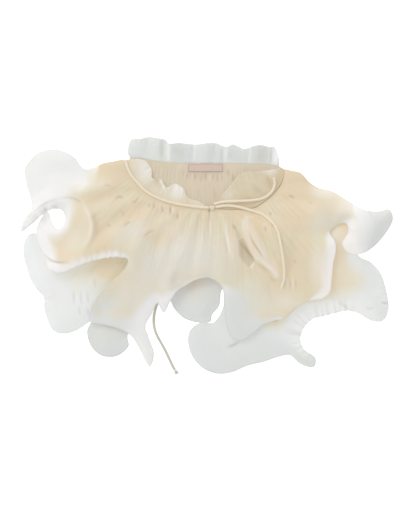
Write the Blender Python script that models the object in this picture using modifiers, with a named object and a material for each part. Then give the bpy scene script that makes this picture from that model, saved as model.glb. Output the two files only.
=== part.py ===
"""A ruffled collar of gathered organza with a drawcord, lying flat on its back.

Each piece of cloth is a sheet cut to an outline in plan: its root, where it is
sewn on, and its free hem. A table gives one row for each turn of the hem, with the
hem's height and how far its edge rolls down. Height posts say how high the cloth
stands in between, and fold lines raise ridges and sink troughs in it. Sizes in the
tables are millimetres. +X is the right side as seen from above, +Y points to the
back of the neck and +Z is up.
"""

import math

import bmesh
import bpy
import numpy as np
from mathutils.geometry import delaunay_2d_cdt

# Driving sizes, in millimetres
MM = 0.001
WALL = 1.2
SEAM = 0.3
LAID = WALL + SEAM
CORD_RADIUS = 1.75
KNOT_RADII = (3.6, 3.0, 2.5)
KNOT_MIDDLE = (6.0, 62.3, 10.7)
KNOT_SIDES = 14
KNOT_BANDS = 9
CORD_END_RADII = (2.9, 2.9, 2.2)
CORD_END_MIDDLE = (-40.9, -152.4, 2.22)
LABEL_SIZE = (45.0, 10.0, 0.8)
LABEL_MIDDLE = (-2.5, 114.5)
FRONT_SPACING = 8.0
LOWER_SPACING = 11.0
BACK_SPACING = 16.0
EDGE_SPACING = 6.5
NECK_CENTRE = (0.0, 100.0)
WAVE_COUNT = 26
WAVE_HEIGHT = 1.0
PLATE_EASE = 4.0
LEAST_LIFT = 0.3
ROOT_CALM = 12.0
LOWER_CALM = 40.0
BACK_LOBE_EDGE = 12.0
BACK_LEAST_LIFT = 0.02
FRILL_CUTS = 5
FRILL_ACROSS = 2
HEM_RINGS = (0.4, 1.0)
RING_ROOM = 0.85
LATTICE_ROOM = 0.6
READINGS_A_ROW = 24
OUTLINE_STEP = 2.0
HEM_STEP = 1.0
FOLD_READINGS = 33
FOLD_FADE = 0.7
CLOTH_ROUGHNESS = 0.8
TAPE_ROUGHNESS = 0.7

# Colours, as linear red, green and blue
CREAM = (0.76, 0.66, 0.49)
BACK_CREAM = (0.70, 0.60, 0.44)
PALE_CREAM = (0.83, 0.80, 0.72)
WHITE = (0.80, 0.80, 0.78)
LABEL_PINK = (0.75, 0.50, 0.47)
CORD_CREAM = (0.82, 0.73, 0.56)

# Root lines, as x, y and z from left to right
NECKLINE_LEFT = (
    (-107, 126, 1.6), (-104, 113, 3), (-97, 101, 4), (-88, 90, 5), (-77, 80.5, 5.5),
    (-64, 73.5, 6), (-50, 69, 6.5), (-33, 65, 6.5), (-15, 62.5, 6.5), (-1, 61, 6.5),
)
SLIT_LEFT = ((-1, 61, 6.5), (0.4, 46, 8.5), (2, 28, 14))
SLIT_RIGHT = ((2, 28, 14), (3.9, 46, 8.5), (5.4, 60.6, 6.5))
NECKLINE_RIGHT = (
    (5.4, 60.6, 6.5), (20, 60, 6.5), (36, 59.5, 6.5), (50, 60, 6.5), (62, 62, 6),
    (71, 67, 6), (81, 75, 5.5), (91, 85, 5), (97.5, 95, 4), (100, 104, 3),
    (101, 113, 1.6),
)
BACK_NECKLINE = (
    (-101, 128, 0), (-88, 126.5, 0), (-75, 125, 0), (-60, 123, 0), (-30, 121, 0),
    (0, 120.5, 0), (30, 120.5, 0), (60, 120, 0), (80, 119, 0), (94, 116.5, 0),
)
LOWER_LEFT_ROOT = (
    (-150, 50, 1.5), (-128, 42, 1.5), (-108, 26, 1.5), (-94, 6, 1.5),
    (-88, -16, 1.5), (-88, -40, 1.5),
)
LOWER_RIGHT_ROOT = (
    (21, -46, 1.5), (48, -28, 1.5), (80, -12, 1.5), (110, 6, 1.5), (130, 26, 1.5),
    (142, 44, 1.5), (154, 54, 1.5),
)

HEM_COLUMNS = "x y z strip drop"
LEFT_SHOULDER_LOBE = (
    (-113, 125.2, 1.6, 5, 0.5),
    (-124, 122.5, 1.6, 6, 1),
    (-136, 120.5, 1.6, 6, 1),
    (-146, 116, 1.6, 6, 1),
    (-156, 112.5, 1.6, 6, 0),
    (-165, 116, 1.2, 8, 2),
    (-174, 128, 0.6, 10, 4),
    (-188, 136, 0.4, 13, 5),
    (-205, 138.5, 0.4, 15, 6),
    (-224, 132, 0.4, 17, 7),
    (-238, 115, 0.4, 17, 7),
    (-237, 96, 0.8, 15, 6),
    (-231, 76, 3, 12, 5),
)
LEFT_RIM = (
    (-229, 60, 9, 9, 4),
    (-238, 47, 13, 8, 5),
    (-241.6, 31, 15, 8, 6),
    (-231, 38, 16, 9, 7),
    (-217, 51, 16, 9, 8),
    (-204, 59.5, 16, 9, 8),
    (-190, 60, 15, 8, 8),
)
FLUTE_MOUTH = (
    (-184, 50, 13, 8, 9),
    (-187, 39, 11, 8, 9),
    (-195, 34, 10, 8, 8),
    (-202.5, 43, 9, 6, 5),
    (-207, 56.5, 10, 6, 4),
    (-216, 49, 10, 6, 4),
    (-222.5, 33, 8, 8, 6),
    (-219, 13, 9, 9, 8),
    (-210, -2, 12, 9, 8),
)
CRINKLED_EDGE = (
    (-206, -17, 16, 8, 9),
    (-189, -22, 18, 7, 11),
    (-170, -14, 19, 7, 12),
    (-150, -7, 20, 7, 12),
    (-130, -3, 20, 8, 11),
    (-114, -2, 20, 8, 9),
    (-103, -5, 18, 8, 8),
)
LEFT_DRAPE = (
    (-107, -17, 16, 6, 6),
    (-123, -33, 15, 6, 5),
    (-140, -50, 14, 6, 4),
    (-151, -68, 11, 7, 5),
    (-153, -86, 7, 8, 6),
    (-135, -90, 6, 8, 7),
    (-115, -95.5, 6, 8, 7),
)
LEFT_TAIL = (
    (-99, -105, 6, 8, 6),
    (-89, -121, 5, 6, 4),
    (-76, -144, 4, 6, 3),
    (-70, -128, 5, 6, 4),
    (-77, -106, 7, 6, 5),
)
CENTRE_FRONT = (
    (-81, -92, 8, 6, 6),
    (-73, -76, 8, 6, 6),
    (-65, -62, 9, 6, 6),
    (-57, -74, 8, 6, 6),
    (-49, -60, 9, 6, 6),
    (-40, -46, 10, 7, 8),
    (-28, -38.5, 10, 7, 8),
    (-16, -31.5, 10, 7, 8),
    (-4, -28.5, 10, 7, 8),
    (1.5, -28.5, 10, 7, 8),
    (2.8, -29, 10, 7, 8),
    (11, -33, 10, 7, 7),
    (19.5, -42, 9, 6, 5),
)
RIGHT_DRAPE = (
    (22, -60, 9, 6, 4),
    (24, -82, 9, 7, 3),
    (30, -104, 8.5, 7, 3),
    (43, -111, 8.5, 7, 3),
    (58, -103, 9, 7, 4),
    (72, -90, 11, 7, 5),
    (88, -84, 15, 7, 6),
    (102, -80, 18.5, 7, 6),
    (116, -67, 19, 7, 7),
    (132, -58.5, 19.5, 7, 8),
)
RIGHT_EDGE = (
    (149, -55, 20, 8, 10),
    (158, -46, 21, 9, 12),
    (160, -29, 22, 9, 13),
    (161.5, -11, 23, 9, 13),
    (165, 5, 23, 9, 13),
    (164, 19, 22, 8, 12),
    (158, 30, 18, 7, 9),
)
RIGHT_SHOULDER_LOBE = (
    (167, 39, 14, 6, 4),
    (179, 42, 14, 6, 5),
    (182, 31, 18, 6, 8),
    (174.5, 16, 19, 8, 9),
    (181, 4.5, 17, 9, 9),
    (196, 1.5, 13, 10, 9),
    (212, 8.5, 8, 11, 9),
    (228, 23.5, 5, 12, 9),
    (241.2, 45, 4, 12, 8),
    (237, 59.5, 6, 10, 5),
    (223, 57, 7, 8, 4),
    (211, 58, 5, 8, 3),
    (203, 60, 3, 7, 2),
    (193, 65, 1.6, 6, 0),
    (179, 74, 1.6, 6, 1),
    (163, 83.5, 1.6, 6, 1.5),
    (147, 87.5, 1.6, 7, 2),
    (134, 95, 1.6, 7, 2),
    (122, 107.5, 1.6, 6, 1),
    (111, 110.5, 1.6, 5, 0.5),
)
FRONT_HEM = (
    LEFT_SHOULDER_LOBE + LEFT_RIM + FLUTE_MOUTH + CRINKLED_EDGE + LEFT_DRAPE
    + LEFT_TAIL + CENTRE_FRONT + RIGHT_DRAPE + RIGHT_EDGE + RIGHT_SHOULDER_LOBE
)
FRONT_LOWER_LEFT = (
    (-162, 36, 2, 5, 0.5),
    (-188, 25, 2, 6, 1),
    (-210, 25, 2, 7, 1),
    (-225, 29, 2, 8, 1),
    (-233, 27, 1, 9, 3),
    (-239.5, 16, 0.4, 11, 5),
    (-240.5, 1, 0.4, 13, 6),
    (-236.5, -14, 0.4, 13, 6),
    (-231, -31, 0.4, 13, 6),
    (-222, -45, 1.5, 12, 5),
    (-213.5, -55, 3, 10, 4),
    (-213.5, -68, 1, 11, 5),
    (-209, -84, 0.4, 12, 5),
    (-201, -98, 0.4, 12, 5),
    (-187, -102, 0.4, 12, 4),
    (-172, -98, 1.5, 10, 3),
    (-158, -89, 3, 9, 1),
    (-134, -73, 3, 8, 0.5),
)
FRONT_LOWER_RIGHT = (
    (21, -53, 1.6, 4, 0),
    (21.5, -62, 1.6, 4, 0.5),
    (19, -72, 1.6, 5, 0.5),
    (14, -81, 2.0, 5, 0.5),
    (6, -88.5, 2.4, 5, 0.3),
    (-9, -87.5, 2.6, 7, 0.6),
    (-22.5, -98, 1.0, 10, 3),
    (-25, -115, 0.4, 12, 4),
    (-19, -133, 0.4, 14, 5),
    (-6, -147, 0.4, 14, 5),
    (12, -154.5, 0.4, 14, 5),
    (32, -152.5, 0.4, 14, 5),
    (52, -144, 0.4, 14, 5),
    (74, -139, 0.4, 14, 5),
    (94, -132, 0.8, 12, 4),
    (108, -130, 1.0, 10, 4),
    (121, -141, 0.4, 9, 3),
    (138, -146, 0.4, 9, 3),
    (141, -134, 0.6, 9, 4),
    (126, -122, 2, 12, 7),
    (121, -108, 3, 18, 11),
    (127, -93, 3, 20, 13),
    (138, -82.5, 3, 20, 13),
    (152, -79, 3, 19, 13),
    (167, -75, 3, 17, 12),
    (181, -72, 3, 14, 9),
    (197, -75, 2, 14, 8),
    (213, -84.5, 0.6, 14, 7),
    (229, -85, 0.4, 14, 7),
    (236.5, -70, 0.4, 14, 7),
    (234.5, -50, 0.4, 13, 7),
    (227, -25, 0.8, 12, 6),
    (213, -9, 2, 10, 4),
    (199, -2, 3, 9, 3),
    (189, 14, 3, 8, 1),
    (196, 28, 3, 8, 1),
    (192, 46, 3, 8, 1),
    (176, 55, 2, 6, 1),
)
BACK_HEM = (
    (-140, 113.5, 0, 8, 0),
    (-150, 98, 0, 8, 0),
    (-152, 66, 0, 8, 0),
    (-160, 34, 0, 8, 0),
    (-164, 0, 0, 8, 0),
    (-160, -36, 0, 8, 0),
    (-150, -66, 0, 8, 0),
    (-151, -84, 0, 8, 0),
    (-157.5, -99, 0, 10, 1),
    (-152, -119, 0, 11, 3),
    (-138, -131, 0, 11, 4),
    (-119, -131.5, 0, 11, 4),
    (-103.5, -119, 0, 10, 3),
    (-104, -103, 0, 9, 1),
    (-88, -80, 0, 8, 0),
    (-76, -62, 0, 8, 0),
    (-62, -52, 0, 8, 0),
    (-50, -57, 0, 8, 1),
    (-43, -70, 0, 9, 3),
    (-32, -81, 0, 10, 4),
    (-16, -87, 0, 10, 3),
    (3, -87, 0, 10, 0),
    (6, -77, 0, 9, 2),
    (15.5, -65, 0, 8, 3),
    (18, -46, 0, 8, 1),
    (27, -44, 0, 8, 0),
    (36, -66, 0, 8, 0),
    (55, -82, 0, 8, 0),
    (80, -80, 0, 8, 0),
    (100, -60, 0, 8, 0),
    (128, -40, 0, 8, 0),
    (152, -14, 0, 8, 0),
    (164, 16, 0, 8, 0),
    (168, 42, 0, 8, 0),
    (170, 62, 0, 8, 0),
    (162, 76, 0, 8, 0),
)

POST_COLUMNS = "x y z"
FRONT_POSTS = (
    (-135, 108, 8), (-150, 100, 11), (-200, 106, 12), (-215, 84, 11), (-178, 90, 14),
    (-166, 72, 22), (-150, 60, 26), (-152, 38, 28), (-155, 15, 28), (-188, 18, 17),
    (-170, 35, 21), (-120, 95, 9), (-125, 75, 17), (-130, 50, 26), (-135, 20, 31),
    (-110, 60, 20), (-105, 35, 28), (-90, 70, 14), (-80, 50, 20), (-85, 20, 25),
    (-88, -10, 25), (-105, -45, 20), (-95, -75, 14), (-120, -70, 15), (-140, -66, 13),
    (-65, 10, 23), (-60, -30, 20), (-45, 40, 18), (-30, 10, 22), (0, 8, 21),
    (15, 35, 15), (30, 30, 17), (40, -10, 21), (45, -60, 15), (62, -60, 17),
    (60, 30, 20), (75, -40, 22), (85, 0, 25), (85, 45, 20), (100, -45, 24),
    (110, 30, 28), (125, 0, 32), (140, -20, 31), (145, 20, 33), (104, 88, 8),
    (118, 82, 11), (128, 92, 6), (120, 60, 20), (140, 62, 24), (160, 65, 20), (175, 54, 24),
    (186, 35, 28), (190, 20, 26), (205, 30, 22), (215, 45, 15),
)
BACK_POSTS = ((-60, 60, 0), (60, 60, 0), (0, 0, 0))
LOWER_LEFT_POSTS = (
    (-190, 10, 7), (-200, -20, 10), (-185, -50, 10), (-190, -80, 7), (-150, 20, 4),
    (-140, -20, 6), (-120, -10, 4), (-150, -60, 7), (-120, -45, 3.5),
)
LOWER_RIGHT_POSTS = (
    (30, -90, 4), (10, -110, 6), (40, -125, 6), (70, -112, 6), (95, -105, 8),
    (60, -60, 4), (108, -62, 11), (100, -88, 11), (140, -30, 11), (170, -20, 13),
    (205, -45, 12), (190, -20, 12), (165, 20, 7), (120, 0, 4.5),
)

# Folds raised or sunk in the cloth: a line from one end by its middle to the other
FOLD_COLUMNS = "x0 y0 x1 y1 x2 y2 width height"
FRONT_FOLDS = (
    (52, 44, 60, 4, 92, -30, 7, 7),
    (42, 34, 48, 8, 55, -18, 6, -7),
    (28, 42, 32, 10, 38, -22, 7, 3),
    (74, 44, 88, 12, 98, -16, 7, 4),
    (66, 38, 80, 6, 96, -24, 4, -4),
    (-26, 44, -38, 4, -47, -24, 7, 4),
    (-14, 40, -18, 8, -22, -16, 6, -3),
    (-60, 44, -66, 0, -66, -44, 8, -4),
    (-78, 46, -92, 4, -104, -52, 10, 4),
    (-100, 58, -128, 34, -150, 20, 9, -4),
    (-160, 64, -150, 36, -162, 4, 5, 4),
    (-116, 92, -150, 84, -186, 78, 9, 3),
    (-122, 82, -144, 68, -158, 58, 8, -3),
    (110, 66, 134, 52, 150, 40, 9, 4),
    (118, 30, 112, 0, 108, -34, 8, -4),
    (100, 78, 136, 70, 170, 60, 8, -3),
)
BACK_FOLDS = (
    (-132, -96, -128, -112, -124, -124, 15, 4),
    (-16, -50, -10, -62, -4, -80, 16, 4.5),
)

FRILL_COLUMNS = "share edge_x edge_y edge_z middle_z"
BACK_FRILL = (
    (0.00, -105, 134, 0.4, 1.0),
    (0.03, -100.5, 151, 1.0, 2.5),
    (0.08, -88, 152.5, 6.0, 4.5),
    (0.13, -77, 155.1, 0.8, 1.0),
    (0.18, -66, 153.5, 6.5, 4.5),
    (0.23, -55, 151.5, 1.2, 1.0),
    (0.28, -50, 146.5, 5.5, 4.0),
    (0.34, -38, 147.5, 1.0, 1.0),
    (0.40, -25, 146, 6.5, 4.5),
    (0.46, -14, 145.5, 1.0, 1.0),
    (0.52, 1, 147, 6.0, 4.5),
    (0.58, 12, 147, 0.8, 1.0),
    (0.64, 24, 142, 6.0, 4.5),
    (0.70, 34, 145.5, 1.0, 1.0),
    (0.76, 48, 139.5, 6.0, 4.5),
    (0.82, 58, 143, 0.8, 1.0),
    (0.88, 69, 144.5, 6.0, 4.5),
    (0.94, 80, 142.5, 1.0, 1.5),
    (0.97, 88.5, 141, 4.0, 3.5),
    (1.00, 94, 124, 0.6, 1.0),
)
LEFT_FRILL = (
    (0.02, -97, 126.5, 2.2, 2.6),
    (0.12, -82, 124, 5.5, 5.0),
    (0.22, -73, 113, 2.2, 3.5),
    (0.32, -72, 101, 5.5, 5.5),
    (0.42, -61, 100, 2.2, 3.5),
    (0.52, -54, 89, 5.0, 5.5),
    (0.62, -43, 94, 2.2, 4.0),
    (0.72, -32, 88, 5.5, 5.5),
    (0.82, -26, 76, 2.6, 4.0),
    (0.92, -12, 70.5, 4.0, 5.2),
    (0.97, -5, 67, 5.0, 5.8),
)
RIGHT_FRILL = (
    (0.07, 13, 66.5, 5.0, 5.8),
    (0.14, 17, 76, 3.0, 4.5),
    (0.22, 24, 85, 5.0, 5.5),
    (0.31, 31, 93.5, 2.4, 3.5),
    (0.40, 38, 101.5, 5.0, 5.5),
    (0.49, 45, 108.5, 2.4, 3.5),
    (0.59, 56, 110, 5.0, 5.0),
    (0.69, 66, 109.5, 2.4, 3.0),
    (0.80, 76, 111, 5.0, 4.5),
    (0.90, 86, 112.5, 2.4, 2.6),
    (0.98, 93.5, 113.5, 2.2, 2.4),
)

# Routes of the cord's middle line, as x, y and z
CORD_ROUTES = {
    "cord_neck_left": (16, (
        (-107, 125, 5.4), (-104, 114, 6.5), (-98, 103, 7.5), (-90, 93.5, 8.3),
        (-80, 83.5, 9.2), (-68, 76.5, 9.4), (-54, 71, 10.0), (-38, 67, 10.1),
        (-22, 64.5, 10.0), (-6, 62.8, 10.0), (1.8, 62.5, 10.0),
    )),
    "cord_neck_right": (16, (
        (8.0, 66.9, 9.4), (14, 68.8, 9.3), (24, 70.3, 9.3), (40, 71, 9.3), (56, 71.8, 9.4),
        (70, 74, 9.4), (80, 79.5, 8.9), (86, 87, 8.4), (87.5, 95, 8.2), (86, 102, 8.1),
    )),
    "cord_tail_right": (26, (
        (10.4, 62.9, 9.9), (15, 64, 9.7), (22, 65, 9.6), (34, 64.6, 9.8), (46, 62, 10.3),
        (54, 59.8, 11.2), (60, 57.8, 12.6), (66, 55.8, 14.5), (71.5, 53.2, 17.1),
        (77, 49.5, 20.4), (82, 45, 23.9), (87.5, 38, 27.6), (92, 27, 31.1),
        (94.2, 15, 32.2), (96.2, 4, 32.0), (98, -8, 31.4), (99, -20, 30.2),
        (98.8, -30, 29.5), (96.5, -39, 28.1), (95.5, -42, 27.5),
    )),
    "cord_tail_left": (30, (
        (5, 64.4, 5.0), (4, 61, 4.2), (3, 57, 3.8), (2, 46, 3.5), (-4, 26, 3.5), (-14, 2, 3.5),
        (-30, -20, 3.5), (-48, -38, 3.5), (-60, -52, 3.5), (-66, -64, 3.2),
        (-69.5, -77, 2.2), (-70, -90, 1.78), (-67.5, -101, 1.78), (-62.5, -111, 1.78),
        (-56, -122.5, 1.78), (-50, -135, 1.78), (-45, -145.5, 1.78), (-42.5, -149.6, 1.78),
    )),
}


def table(columns, rows):
    """The columns of a table as arrays, by name."""
    return dict(zip(columns.split(), np.array(rows, float).T))


def between_rows(values, at):
    """Smooth (Catmull-Rom) reading of rows at fractional row numbers."""
    last = len(values) - 1
    row = np.clip(np.floor(at).astype(int), 0, last - 1)
    t = (at - row).reshape(-1, *[1] * (values.ndim - 1))
    before, here, after, later = (
        values[np.clip(row + step, 0, last)] for step in (-1, 0, 1, 2)
    )
    return here + 0.5 * t * (
        after - before
        + t * (2 * before - 5 * here + 4 * after - later)
        + t * t * (3 * (here - after) + later - before)
    )


def along(rows, share):
    """Smooth reading of rows at shares of the length of the line through them."""
    rows = np.array(rows, float)
    fine = between_rows(rows, np.linspace(0, len(rows) - 1, READINGS_A_ROW * len(rows)))
    steps = np.linalg.norm(np.diff(fine[:, :2], axis=0), axis=1)
    length = np.concatenate([[0], np.cumsum(steps)]) / steps.sum()
    return np.stack([np.interp(share, length, column) for column in fine.T], axis=1)


def evenly(rows, spacing):
    """Rows read at even steps along the line through them, about a spacing apart."""
    rows = np.array(rows, float)
    fine = between_rows(rows, np.linspace(0, len(rows) - 1, READINGS_A_ROW * len(rows)))
    length = np.linalg.norm(np.diff(fine[:, :2], axis=0), axis=1).sum()
    return along(rows, np.linspace(0, 1, max(2, round(length / spacing)) + 1))


def joined(lines, spacing):
    """The lines of a root read one after another, each at even steps."""
    return np.concatenate([evenly(line, spacing) for line in lines])


def inside(points, outline):
    """Whether each point is inside a closed outline, by counting crossings."""
    x, y = points[:, :1], points[:, 1:]
    x0, y0 = outline.T
    x1, y1 = np.roll(outline, -1, axis=0).T
    with np.errstate(divide="ignore", invalid="ignore"):
        crosses = ((y0 > y) != (y1 > y)) & (x < (x1 - x0) * (y - y0) / (y1 - y0) + x0)
    return crosses.sum(axis=1) % 2 == 1


def nearest(points, line):
    """Distance from each point to the nearest point of a line, and which that is."""
    away = np.linalg.norm(points[:, None] - line[None, :, :2], axis=-1)
    index = away.argmin(axis=1)
    return away[np.arange(len(points)), index], index


def plate(places, heights, points):
    """Height at each point of a thin plate bent through the given places."""
    def bend(a, b):
        squared = ((a[:, None] - b[None]) ** 2).sum(-1)
        return 0.5 * squared * np.log(squared + 1e-9)

    count = len(places)
    level = np.column_stack([np.ones(count), places])
    matrix = np.zeros((count + 3, count + 3))
    matrix[:count, :count] = bend(places, places) + PLATE_EASE * np.eye(count)
    matrix[:count, count:] = level
    matrix[count:, :count] = level.T
    weights = np.linalg.solve(matrix, np.concatenate([heights, np.zeros(3)]))
    flat = np.column_stack([np.ones(len(points)), points])
    return bend(points, places) @ weights[:count] + flat @ weights[count:]


def fold_height(points, folds):
    """Height that the folds add: round ridges and troughs that die out at both ends."""
    folds = table(FOLD_COLUMNS, folds)
    total = np.zeros(len(points))
    t = np.linspace(0, 1, FOLD_READINGS)
    for x0, y0, x1, y1, x2, y2, width, height in zip(*folds.values()):
        line = np.stack(
            [
                (1 - t) * (1 - 2 * t) * start + 4 * t * (1 - t) * middle + t * (2 * t - 1) * end
                for start, middle, end in ((x0, x1, x2), (y0, y1, y2))
            ],
            axis=1,
        )
        away = np.linalg.norm(points[:, None] - line[None], axis=-1)
        strength = np.sin(np.pi * t) ** FOLD_FADE * np.exp(-((away / width) ** 2))
        total += height * strength.max(axis=1)
    return total


def wave_height(points):
    """Soft waves that run out from the neck all round, as the gathers open."""
    turn = np.arctan2(points[:, 1] - NECK_CENTRE[1], points[:, 0] - NECK_CENTRE[0])
    return WAVE_HEIGHT * np.sin(WAVE_COUNT * turn)


def plan_mesh(root, hem, spacing, hem_rings):
    """Points and triangles that fill an outline: its edge, rings inside the hem, a lattice."""
    root_line = joined(root, EDGE_SPACING)[:, :2]
    repeats = np.linalg.norm(np.diff(root_line, axis=0), axis=1) < 1e-6
    root_line = root_line[np.concatenate([[True], ~repeats])]
    hem_line = evenly(hem, EDGE_SPACING)
    outline = np.concatenate([root_line, hem_line[::-1, :2]])
    fine_root = joined(root, OUTLINE_STEP)
    fine_hem = evenly(hem, OUTLINE_STEP)
    dense = np.concatenate([fine_root[:, :2], fine_hem[::-1, :2]])
    chord = np.gradient(hem_line[:, :2], axis=0)
    normal = np.stack([-chord[:, 1], chord[:, 0]], axis=1)
    normal /= np.linalg.norm(normal, axis=1)[:, None]
    middle = hem_line[:, :2] + normal
    if inside(middle, outline).mean() < 0.5:
        normal = -normal
    fill = []
    for share in hem_rings:
        deep = share * hem_line[:, 3:4]
        ring = hem_line[:, :2] + normal * deep
        away, _ = nearest(ring, dense)
        fill.append(ring[(away > RING_ROOM * deep[:, 0]) & inside(ring, outline)])
    low, high = outline.min(axis=0), outline.max(axis=0)
    rows = np.arange(low[1], high[1], spacing * math.sqrt(0.75))
    columns = np.arange(low[0], high[0], spacing)
    lattice = np.stack(np.meshgrid(columns, rows), axis=-1)
    lattice[1::2, :, 0] += spacing / 2
    lattice = lattice.reshape(-1, 2)
    lattice = lattice[inside(lattice, outline)]
    away, index = nearest(lattice, fine_hem)
    room = LATTICE_ROOM * spacing
    to_root, _ = nearest(lattice, fine_root)
    fill.append(lattice[(away > fine_hem[index, 3] + room) & (to_root > room)])
    return outline, np.concatenate([outline, *fill])


def sheet(root, hem, posts, spacing, hem_rings):
    """A sheet's points and triangles, at heights from its plate and the roll of its hem."""
    outline, plan = plan_mesh(root, hem, spacing, hem_rings)
    count = len(outline)
    edges = [(i, (i + 1) % count) for i in range(count)]
    found = delaunay_2d_cdt(plan.tolist(), edges, [], 1, 1e-4)
    points, faces = np.array([point[:] for point in found[0]]), found[2]
    hem_rows = np.array(hem, float)
    posts = np.array(posts, float)
    root_rows = np.unique(np.concatenate([np.array(line, float) for line in root]), axis=0)
    places = np.concatenate([root_rows[:, :2], hem_rows[:, :2], posts[:, :2]])
    heights = np.concatenate([root_rows[:, 2], hem_rows[:, 2] + hem_rows[:, 4], posts[:, 2]])
    height = plate(places, heights, points)
    hem_line = evenly(hem, HEM_STEP)
    away, index = nearest(points, hem_line)
    strip, drop = hem_line[index, 3], hem_line[index, 4]
    height -= drop * (1 - np.sin(np.clip(away / strip, 0, 1) * np.pi / 2))
    return points, height, faces


def frill(root, rows, across, lean):
    """A narrow frill's points and faces: gathered at its root, waved at its free edge."""
    rows = np.array(rows, float)
    count = (len(rows) - 1) * across + 1
    share, edge_x, edge_y, edge_z, middle_z = between_rows(
        rows, np.linspace(0, len(rows) - 1, count)
    ).T
    top = along(root, share)
    top[:, :2] += lean
    edge = np.column_stack([edge_x, edge_y, edge_z])
    middle = (top + edge) / 2
    middle[:, 2] = middle_z
    down = np.linspace(0, 1, FRILL_CUTS)[:, None, None]
    grid = (
        (1 - down) * (1 - 2 * down) * top
        + 4 * down * (1 - down) * middle
        + down * (2 * down - 1) * edge
    )
    corner = np.arange(FRILL_CUTS * count).reshape(FRILL_CUTS, count)
    faces = np.stack(
        [corner[:-1, :-1], corner[1:, :-1], corner[1:, 1:], corner[:-1, 1:]], axis=-1
    )
    return grid.reshape(-1, 3), faces.reshape(-1, 4)


def material(name, colour, roughness):
    """A plain cloth finish."""
    made = bpy.data.materials.new(name)
    made.use_nodes = True
    shader = made.node_tree.nodes["Principled BSDF"]
    shader.inputs["Base Color"].default_value = (*colour, 1.0)
    shader.inputs["Roughness"].default_value = roughness
    shader.inputs["Metallic"].default_value = 0.0
    return made


def add(collection, name, mesh, finish):
    """An object in the collection, shaded smooth, with its own finish."""
    mesh.shade_smooth()
    mesh.materials.append(finish)
    made = bpy.data.objects.new(name, mesh)
    collection.objects.link(made)
    return made


def cloth(collection, name, points, faces, finish):
    """A wall of cloth over an open surface, thickened upwards from its underside."""
    mesh = bpy.data.meshes.new(name)
    mesh.from_pydata((points * MM).tolist(), [], [list(face) for face in faces])
    shell = bmesh.new()
    shell.from_mesh(mesh)
    bmesh.ops.recalc_face_normals(shell, faces=shell.faces)
    if sum(face.normal.z * face.calc_area() for face in shell.faces) < 0:
        bmesh.ops.reverse_faces(shell, faces=shell.faces)
    shell.to_mesh(mesh)
    shell.free()
    made = add(collection, name, mesh, finish)
    wall = made.modifiers.new("Wall", "SOLIDIFY")
    wall.thickness = WALL * MM
    wall.offset = 1.0


def cord(collection, name, route, points, finish):
    """A round cord through the points of its route."""
    places = along(route, np.linspace(0, 1, points)) * MM
    curve = bpy.data.curves.new(name, "CURVE")
    curve.dimensions = "3D"
    curve.bevel_depth = CORD_RADIUS * MM
    curve.bevel_resolution = 2
    curve.use_fill_caps = True
    spline = curve.splines.new("POLY")
    spline.points.add(points - 1)
    for point, place in zip(spline.points, places):
        point.co = (*place, 1.0)
    curve.materials.append(finish)
    collection.objects.link(bpy.data.objects.new(name, curve))


def lump(collection, name, middle, radii, finish):
    """A small rounded knot."""
    ball = bmesh.new()
    bmesh.ops.create_uvsphere(ball, u_segments=KNOT_SIDES, v_segments=KNOT_BANDS, radius=1.0)
    for vertex in ball.verts:
        vertex.co = [(m + r * c) * MM for m, r, c in zip(middle, radii, vertex.co)]
    mesh = bpy.data.meshes.new(name)
    ball.to_mesh(mesh)
    ball.free()
    add(collection, name, mesh, finish)


def slab(collection, name, middle, size, floor, finish):
    """A flat rectangle of tape lying at a height."""
    box = bmesh.new()
    bmesh.ops.create_cube(box, size=1.0)
    place = (middle[0], middle[1], floor + size[2] / 2)
    for vertex in box.verts:
        vertex.co = [(p + s * c) * MM for p, s, c in zip(place, size, vertex.co)]
    mesh = bpy.data.meshes.new(name)
    box.to_mesh(mesh)
    box.free()
    add(collection, name, mesh, finish)
    mesh.shade_flat()


def build_back(collection, finish):
    """The back panel: flat on its underside, but for two lobes that show below the front."""
    points, _, faces = sheet(
        (BACK_NECKLINE,), BACK_HEM, BACK_POSTS, BACK_SPACING, HEM_RINGS[-1:]
    )
    away, _ = nearest(points, evenly(BACK_HEM, OUTLINE_STEP))
    lobes = fold_height(points, BACK_FOLDS) * np.clip(away / BACK_LOBE_EDGE, 0, 1)
    height = np.where(lobes > BACK_LEAST_LIFT, lobes, 0.0)
    cloth(collection, "back", np.column_stack([points, height]), faces, finish)


def build_front_upper(collection, finish):
    """The upper tier of the front in one piece, slit down from the knot."""
    root = (NECKLINE_LEFT, SLIT_LEFT, SLIT_RIGHT, NECKLINE_RIGHT)
    points, height, faces = sheet(root, FRONT_HEM, FRONT_POSTS, FRONT_SPACING, HEM_RINGS)
    to_root, _ = nearest(points, joined(root, OUTLINE_STEP))
    waves = fold_height(points, FRONT_FOLDS) + wave_height(points)
    height += waves * np.clip(to_root / ROOT_CALM, 0, 1)
    height = np.maximum(height, LEAST_LIFT)
    cloth(collection, "front_upper", np.column_stack([points, height]), faces, finish)


def build_lower(collection, name, root, hem, posts, finish):
    """A lower tier, sewn on under the upper one and showing beyond its hem."""
    points, height, faces = sheet((root,), hem, posts, LOWER_SPACING, HEM_RINGS)
    to_root, _ = nearest(points, evenly(root, OUTLINE_STEP))
    height += wave_height(points) * np.clip(to_root / LOWER_CALM, 0, 1)
    height = np.maximum(height, LEAST_LIFT)
    cloth(collection, name, np.column_stack([points, height]), faces, finish)


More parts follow.
